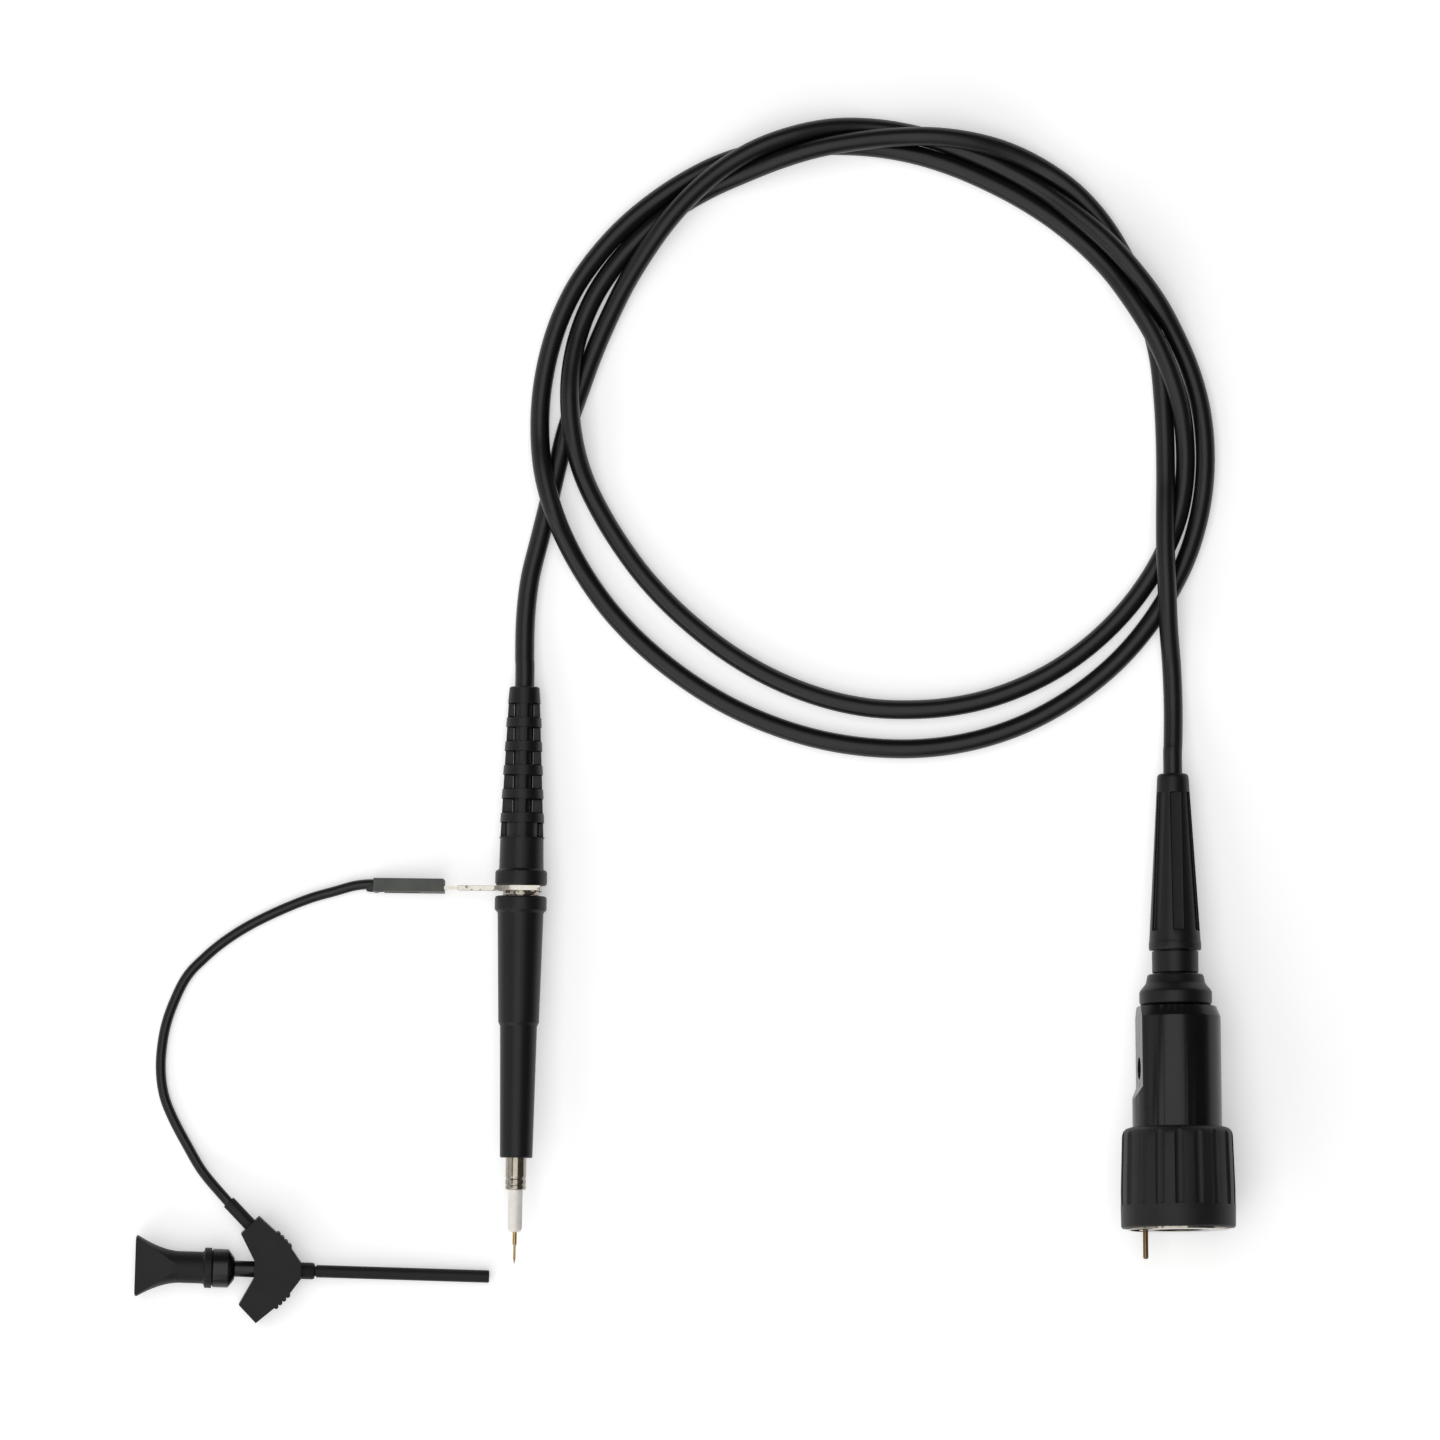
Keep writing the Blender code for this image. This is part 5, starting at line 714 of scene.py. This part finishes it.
# %% Neck and collar
plug_neck = turned(
    "plug_neck",
    [(2.75, 31.6), (3.6, 31.6), (3.6, 35.1), (4.5, 35.1), (4.58, 35.2), (4.58, 39.2), (4.5, 39.3), (3.4, 39.3)]
    + [(3.4, 47.2), (2.75, 47.2)],
    96,
    True,
)
place(plug_neck, PLUG, "boot_neck", "probe", "boot_black", 0.04)
plug_collar = turned(
    "plug_collar",
    [(3.55, 39.6), (5.2, 39.6), (5.48, 39.75), (5.6, 40.1), (5.85, 41.3), (6.02, 41.6), (6.85, 42.6), (7.08, 42.95)]
    + [(7.16, 43.3), (7.16, 45.1), (6.9, 45.6), (3.55, 45.6)],
    128,
    True,
)
place(plug_collar, PLUG, "collar_ring", "probe", "boot_black", 0.06)

# %% [markdown]
# ## The housing
# The glossy shell holds the compensation board. Its left side is milled flat, with a sloping run-out, and a
# round hole in the flat leads to the trimmer's slotted screw. The flat is cut with one block that has been
# given the run-out by moving its end edge.

# %% Compensation housing
plug_housing = turned(
    "plug_housing",
    [(3.55, 45.9), (7.75, 45.9), (7.95, 46.0), (8.72, 47.85), (8.8, 48.15), (8.8, 71.9), (8.7, 72.0), (7.45, 72.0)]
    + [(7.45, 47.4), (3.55, 47.4)],
    160,
    True,
)
flat_cut = block("flat_cut", (-20, -12, 40), (-7.42, 12, 61.8))
for vertex in flat_cut.data.vertices:
    if vertex.co.z > 60 and vertex.co.x < -10:
        vertex.co.z = 61.8 + 2.4 / 1.38 * (20 - 7.42)
carve(plug_housing, flat_cut)
wall = turned("wall", [(0.001, 47.3), (7.46, 47.3), (7.46, 64.2), (0.001, 64.2)], 160)
carve(wall, block("keep_out", (-6.12, -12, 40), (12, 12, 70)))
plate_inside = block("plate_inside", (-7.46, -6, 47.3), (-6.12, 6, 64.2))
carve(plate_inside, wall, operation="INTERSECT")
carve(plug_housing, block("trim_flat", (-20, -12, 40), (-7.42, 12, 61.8)))
carve(plug_housing, plate_inside, operation="UNION")
hole = turned("hole", [(2.2, 3.0), (2.2, 14.0)], 64)
hole.matrix_world = shift(0, 0, 58.1) @ turn(-90, "Y")
carve(plug_housing, hole)
mould_line(plug_housing, [(8.5, 65.2), (8.84, 65.2), (8.84, 71.8), (8.5, 71.8)], 91.2, 1.2)
place(plug_housing, PLUG, "compensation_housing", "probe", "gloss_black", 0.05, 25)

# %% Trimmer screw
slotted_screw = turned("slotted_screw", [(0.65, 2.4), (0.65, 4.6), (1.6, 4.6), (1.6, 5.9)], 48)
carve(slotted_screw, block("slot", (-3, -0.2, 5.4), (3, 0.2, 7)))
place(slotted_screw, TRIMMER, "trimmer_screw", "trimmer_screw", "gold", 0.05)

# %% [markdown]
# ## The knob
# Eighteen shallow flutes run from the rounded shoulder to a plain band at the front. The body is turned once,
# and the flutes are rods that lie along its taper, modelled once and copied every twenty degrees.

# %% Fluted knob
fluted_knob = turned(
    "fluted_knob",
    [(9.05, 69.7), (9.3, 69.7), (10.1, 69.95), (10.62, 70.45), (10.87, 71.1), (10.94, 71.9), (11.27, 82.0)]
    + [(11.27, 84.95), (11.33, 85.05), (11.27, 89.2), (11.0, 89.5), (10.0, 89.5), (10.0, 71.6), (9.05, 71.6)],
    180,
    True,
)
rod = turned("rod", [(0.95, -7.4), (1.2, -6.6), (1.2, 7.25)], 40)
first = turn(96.5, "Z") @ shift(11.83, 0, 77.8) @ turn(1.8, "Y")
rod.matrix_world = first
only(rod)
bpy.ops.object.transform_apply(location=True, rotation=True, scale=True)
carve(fluted_knob, copies(rod, [turn(20 * i, "Z") for i in range(1, 18)]))
place(fluted_knob, PLUG, "coupling_knob", "knob", "knob_black", 0.1)

# %% [markdown]
# Inside the knob sits the plated nut: a hub with two channels for the lugs of the jack, and a front disc with
# an arc-shaped slot, which lets the sprung readout pin stay still while the knob turns a quarter turn.

# %% Bayonet nut
front_nut = turned(
    "front_nut",
    [(4.45, 75.0), (6.6, 75.0), (6.6, 88.3), (9.85, 88.3), (9.85, 89.9), (5.0, 89.9), (5.0, 76.1), (4.45, 76.1)],
    160,
    True,
)
arc = turned("arc", [(7.77, 87.5), (9.43, 87.5), (9.43, 90.5), (7.77, 90.5)], 180, True)
carve(front_nut, wedge(arc, 229.0 - 95.5, 101.0))
for side in (0.0, 180.0):
    lug_in = block("lug_in", (4.0, -1.05, 84.5), (6.05, 1.05, 91))
    lug_in.matrix_world = turn(side, "Z")
    ramp = turned("ramp", [(4.0, 83.6), (6.05, 83.6), (6.05, 85.7), (4.0, 85.7)], 120, True)
    wedge(ramp, side - 96.0, 102.0)
    carve(front_nut, lug_in, ramp)
place(front_nut, PLUG, "bayonet_nut", "knob", "nickel", 0.08)
front_nut.data.materials[0] = TURNED_NICKEL

# %% Contact fingers, insulator and centre pin
contact_fingers = turned(
    "contact_fingers",
    [(2.5, 68.5), (7.3, 68.5), (7.3, 72.3), (9.7, 72.3), (9.7, 73.8), (4.2, 73.8), (4.2, 76.3), (3.8, 76.3)]
    + [(3.8, 77.0), (4.2, 77.0), (4.2, 77.2), (4.0, 77.2), (4.0, 86.6), (3.85, 87.0), (2.5, 87.0)],
    120,
    True,
)
slit = block("slit", (-6, -0.3, 79), (6, 0.3, 95))
carve(contact_fingers, copies(slit, [turn(60, "Z"), turn(120, "Z")]))
place(contact_fingers, PLUG, "connector_body", "probe", "nickel", 0.06)
contact_sleeve = turned("contact_sleeve", [(0.835, 68.8), (2.35, 68.8), (2.35, 79.0), (0.835, 79.0)], 64, True)
place(contact_sleeve, PLUG, "contact_insulator", "probe", "contact_plastic", 0.06)
contact_pin = turned("contact_pin", [(0.685, 65.5), (0.685, 83.8), (0.34, 84.5)], 40)
place(contact_pin, PLUG, "centre_pin", "probe", "gold", 0.05)

# %% [markdown]
# The readout pin stands out of the nut's slot: a plain round rod with a domed end, sliding in its own barrel.

# %% Readout pin
sprung_pin = turned(
    "sprung_pin",
    [(0.64, 79.0), (0.64, 80.5), (0.535, 80.6), (0.535, 94.95), (0.46, 95.15), (0.3, 95.27), (0.12, 95.3)],
    40,
)
place(sprung_pin, READOUT, "readout_pin", "readout_pin", "gold", 0.02)
# The readout pin's plating is a darker gold than the tip's.
sprung_pin.data.materials[0] = plated("dark_gold_plating", (0.2, 0.135, 0.07), 0.3, 4000, 0.08)
pin_barrel = turned(
    "pin_barrel",
    [(0.6, 72.6), (0.6, 74.1), (1.0, 74.1), (1.0, 86.0), (0.61, 86.0), (0.61, 85.7), (0.7, 85.7), (0.7, 74.7)],
    40,
)
place(pin_barrel, READOUT, "readout_barrel", "probe", "nickel", 0.04)

# %% [markdown]
# ## The ground lead
# The fork is stamped from plated sheet: half a ring with two arms that snap round the tube, a strip, and a
# square pin that enters the crimp housing. It is made from a turned ring and blocks, welded with a Boolean.

# %% Fork
lead_fork = turned("lead_fork", [(2.85, -0.1), (4.4, -0.1), (4.4, 0.85), (2.85, 0.85)], 96, True)
carve(lead_fork, block("mouth", (0, -6, -1), (6, 6, 2)))
for up, reach in ((-1, 3.4), (1, 4.3)):
    y = sorted((up * 2.85, up * 4.4))
    carve(lead_fork, block("arm", (-0.4, y[0], -0.1), (reach, y[1], 0.85)), operation="UNION")
    lip = block("lip", (reach - 0.6, y[0], 0.2), (reach + 0.15, y[1], 0.98), 0.15)
    shoulder = block("shoulder", (-1.9, 0.0, -0.1), (1.9, 1.5, 0.8))
    shoulder.matrix_world = shift(-2.75, up * 1.35, 0) @ turn(45 if up > 0 else 135, "Z")
    carve(lead_fork, lip, shoulder, operation="UNION")
strip = block("strip", (-12.5, -1.0, -0.1), (-3.6, 1.0, 0.93), 0.12)
square_pin = block("square_pin", (-21.0, -0.34, 0.06), (-11.5, 0.34, 0.74))
carve(lead_fork, strip, square_pin, operation="UNION")
dents = [(-5.2, 0.9), (-7.9, 0.88), (-9.6, 0.9), (-4.4, 0.1), (-10.7, 0.2), (-2.9, 3.3)]
for x, depth in dents:
    dent = turned("dent", [(0.05, -0.3), (0.22, -0.12), (0.28, 0.0), (0.22, 0.12), (0.05, 0.3)], 16)
    dent.matrix_world = shift(x, 0.98 if x < -3.6 else 3.3, depth) @ turn(40 * x, "Z")
    carve(lead_fork, dent)
place(lead_fork, FORK, "ground_fork", "ground_lead", "nickel", 0.07)

# %% [markdown]
# The crimp housing is a plain grey block with a mouth at one end, a latch tongue with its window in the front
# side, and an open end where the wire comes out. It has rolled a little, so that this side shows from above.

# %% Crimp housing
crimp_housing = block("crimp_housing", (-1.3, -1.27, 0), (1.3, 1.27, 14))
carve(
    crimp_housing,
    block("cavity", (-1.03, -1.03, 0.8), (1.03, 1.03, 20)),
    block("mouth", (-0.47, -0.47, -1), (0.47, 0.47, 2)),
    block("tongue_slot", (1.16, -0.7, 4.9), (3, 0.7, 10.9)),
    block("latch", (0, -0.55, 8.6), (3, 0.55, 10.9)),
    block("rear_nick", (1.1, -2, 12.0), (3, 0.9, 13.2)),
)
lying = SOCKET @ shift(-0.3, 0.1, 0) @ turn(8.0, "Z")
place(crimp_housing, lying, "lead_socket_housing", "ground_lead", "socket_grey", 0.09)

# %% [markdown]
# ## The hook clip
# The thumb cap is a trumpet, turned and then cut by two sloping planes, which leaves the triangle that the
# thumb presses. The cap and the shiny collar in front of it slide towards the finger grip.

# %% Thumb cap and collar
flare = [(3.14 + 3.1 * (1 - i / 14) ** 1.75, 0.15 + 8.5 * i / 14) for i in range(1, 15)]
thumb_cap = turned(
    "thumb_cap",
    [(5.55, 0.0), (5.9, 0.12), (6.05, 0.38), *flare, (3.14, 13.3), (3.4, 13.6), (3.85, 13.65), (3.98, 13.85)]
    + [(3.98, 14.95), (3.9, 15.1), (2.05, 15.1), (2.05, 10.9)],
    128,
)
for up in (-1, 1):
    slope = block("slope", (-12, -12, -14), (12, 12, 0))
    tilt = math.degrees(math.atan2(3.14 - 2.04, 7.8))
    slope.matrix_world = shift(0, up * 2.04, 0) @ turn(up * -tilt, "X") @ shift(0, up * 12, 9.0)
    carve(thumb_cap, slope)
place(thumb_cap, CLIP, "plunger_cap", "plunger", "clip_black", 0.16, 28, 3)
thumb_collar = turned(
    "thumb_collar",
    [(1.9, 11.2), (1.9, 15.1), (3.5, 15.1), (3.5, 15.3), (3.74, 15.3), (3.81, 15.42), (3.81, 18.2), (3.72, 18.4)]
    + [(2.25, 19.5), (2.1, 19.55)]
    + [(1.61, 19.6), (1.61, 25.2), (0.4, 25.2), (0.4, 21.2)],
    96,
)
place(thumb_collar, CLIP, "plunger_collar", "plunger", "plunger_black", 0.08)

# %% [markdown]
# The finger grip is a thick chevron with four ribs on each front edge. Its outline is drawn once as a flat
# polygon, extruded to its thickness, and joined with the round nozzle in front.

# %% Finger grip
shoulder, rib_end = Vector((4.42, 30.6)), Vector((7.45, 27.6))
along = (rib_end - shoulder).normalized()
outward = Vector((-along.y, along.x))
half = [Vector((1.6, 32.65)), shoulder]
for rib in range(4):
    middle = shoulder + along * (0.53 + 1.065 * rib)
    for step in range(7):
        bend = math.radians(180 - 30 * step)
        half.append(middle + 0.5 * (along * math.cos(bend) + outward * math.sin(bend)))
half += [rib_end, arm_tip, arm_back, Vector((1.65, 23.5))]
outline = half + [Vector((-p.x, p.y)) for p in reversed(half)]
grip_mesh = bpy.data.meshes.new("finger_grip")
grip_mesh.from_pydata([(p.x, -3.2, p.y) for p in outline], [], [list(range(len(outline)))])
finger_grip = bpy.data.objects.new("finger_grip", grip_mesh)
bpy.context.scene.collection.objects.link(finger_grip)
only(finger_grip)
bpy.ops.object.mode_set(mode="EDIT")
bpy.ops.mesh.select_all(action="SELECT")
bpy.ops.mesh.extrude_region_move(TRANSFORM_OT_translate={"value": (0, 6.4, 0)})
bpy.ops.mesh.select_all(action="SELECT")
bpy.ops.mesh.normals_make_consistent(inside=False)
bpy.ops.object.mode_set(mode="OBJECT")
nozzle = turned("nozzle", [(1.66, 30.0), (1.66, 34.95), (1.5, 35.3), (1.3, 35.4)], 64)
carve(finger_grip, nozzle, operation="UNION")
bore = turned("bore", [(1.76, 0.0), (1.76, 31.2), (0.65, 31.2), (0.65, 32.7), (1.15, 32.7), (1.15, 60)], 64)
carve(finger_grip, bore)
socket = turned("socket", [(1.36, -8.0), (1.36, 2.0), (0.75, 2.0), (0.75, 7.1)], 48)
socket.matrix_world = CLIP.inverted() @ SLEEVE
carve(finger_grip, socket)
place(finger_grip, CLIP, "clip_body", "ground_lead", "clip_black", 0.13, 40)

# %% Hook tube and sleeve
hook_tube = turned(
    "hook_tube",
    [(0.75, 33.0), (1.0, 33.0), (1.0, 35.7), (1.24, 35.7), (1.24, 69.6), (1.12, 69.8), (0.75, 69.8)],
    64,
    True,
)
place(hook_tube, CLIP, "clip_tube", "ground_lead", "clip_black", 0.0)
wire_sleeve = turned("wire_sleeve", [(1.02, -6.2), (1.26, -6.2), (1.34, -6.0), (1.34, 1.7), (1.02, 1.7)], 64, True)
place(wire_sleeve, SLEEVE, "clip_sleeve", "ground_lead", "clip_black", 0.03)

# %% [markdown]
# ## Springs
# The three coil springs are the solid model's, joined and smoothed.

# %% Springs


def pressed_coil(name, node, body):
    coil = bpy.data.objects.new(name, nodes[node].data.copy())
    bpy.context.scene.collection.objects.link(coil)
    coil.data.transform(nodes[node].matrix_world)
    only(coil)
    bpy.ops.object.mode_set(mode="EDIT")
    bpy.ops.mesh.select_all(action="SELECT")
    bpy.ops.mesh.remove_doubles(threshold=0.000002)
    bpy.ops.object.mode_set(mode="OBJECT")
    bpy.ops.object.shade_smooth()
    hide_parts(node)
    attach(coil, body)
    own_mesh(coil)


pressed_coil("tip_coil", "tip_spring", "probe")
pressed_coil("readout_coil", "readout_spring", "probe")
pressed_coil("clip_coil", "clip_spring", "ground_lead")

# %% [markdown]
# ## Table and light
# The table is plain white. It takes the shadows as a matt surface does, and a little light of its own, which
# only the camera and reflections see, lifts it to the paper white of the photograph.

# %% Table
bpy.ops.object.select_all(action="DESELECT")
bpy.ops.mesh.primitive_plane_add(size=8, location=(0, 0, 0))
table = bpy.context.active_object
table.name = "white_table"
table_material, tree, links, shader = blank_material("white_paper")
shader.inputs["Base Color"].default_value = (0.96, 0.96, 0.96, 1)
shader.inputs["Roughness"].default_value = 0.9
shader.inputs["Specular IOR Level"].default_value = 0.1
shader.inputs["Emission Color"].default_value = (1, 1, 1, 1)
rays = tree.new("ShaderNodeLightPath")
seen = tree.new("ShaderNodeMath")
seen.operation = "MAXIMUM"
links.new(rays.outputs["Is Camera Ray"], seen.inputs[0])
links.new(rays.outputs["Is Glossy Ray"], seen.inputs[1])
through = tree.new("ShaderNodeMath")
through.operation = "MAXIMUM"
links.new(seen.outputs[0], through.inputs[0])
links.new(rays.outputs["Is Transmission Ray"], through.inputs[1])
lift = tree.new("ShaderNodeMath")
lift.operation = "MULTIPLY"
lift.inputs[1].default_value = 0.34
links.new(through.outputs[0], lift.inputs[0])
links.new(lift.outputs[0], shader.inputs["Emission Strength"])
table.data.materials.append(table_material)
table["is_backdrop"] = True
print("table:", table.name)

# %% [markdown]
# A wide soft panel hangs over the probe, a little to the left. Its reflection is the pale band along every
# round piece, and its shadows are soft and short. A lower panel stands in front, to the left: it throws the
# shadows up and to the right, and draws the thin line of light on the cable's lower arcs. The right side stays
# dark, which gives the black plastic its depth.

# %% Lamps and world


def panel(name, location, target, size, watts):
    data = bpy.data.lights.new(name, "AREA")
    data.shape = "RECTANGLE"
    data.size, data.size_y = size
    data.energy = watts
    lamp = bpy.data.objects.new(name, data)
    bpy.context.scene.collection.objects.link(lamp)
    lamp.location = location
    lamp.rotation_euler = (Vector(target) - Vector(location)).to_track_quat("-Z", "Y").to_euler()
    lamp.visible_camera = False
    return lamp


panel("overhead_panel", (-0.4, -0.25, 2.6), (-0.4, -0.25, 0), (2.5, 4.2), 52)
panel("left_panel", (-2.7, -0.3, 1.3), (0, 0.05, 0.3), (4.0, 2.2), 22)
panel("front_panel", (-1.2, -2.3, 1.5), (0, 0.05, 0), (2.6, 1.3), 22)
world = bpy.data.worlds.new("studio")
bpy.context.scene.world = world
world.use_nodes = True
sky = world.node_tree.nodes["Background"]
sky.inputs["Color"].default_value = (1, 1, 1, 1)
sky.inputs["Strength"].default_value = 0.09
bpy.context.scene.view_settings.view_transform = "Standard"
print("lamps: 3")

# %% Measure and finish
low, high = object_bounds()
print("box now:", [round(1000 * (b - a), 1) for a, b in zip(low, high)], "mm")
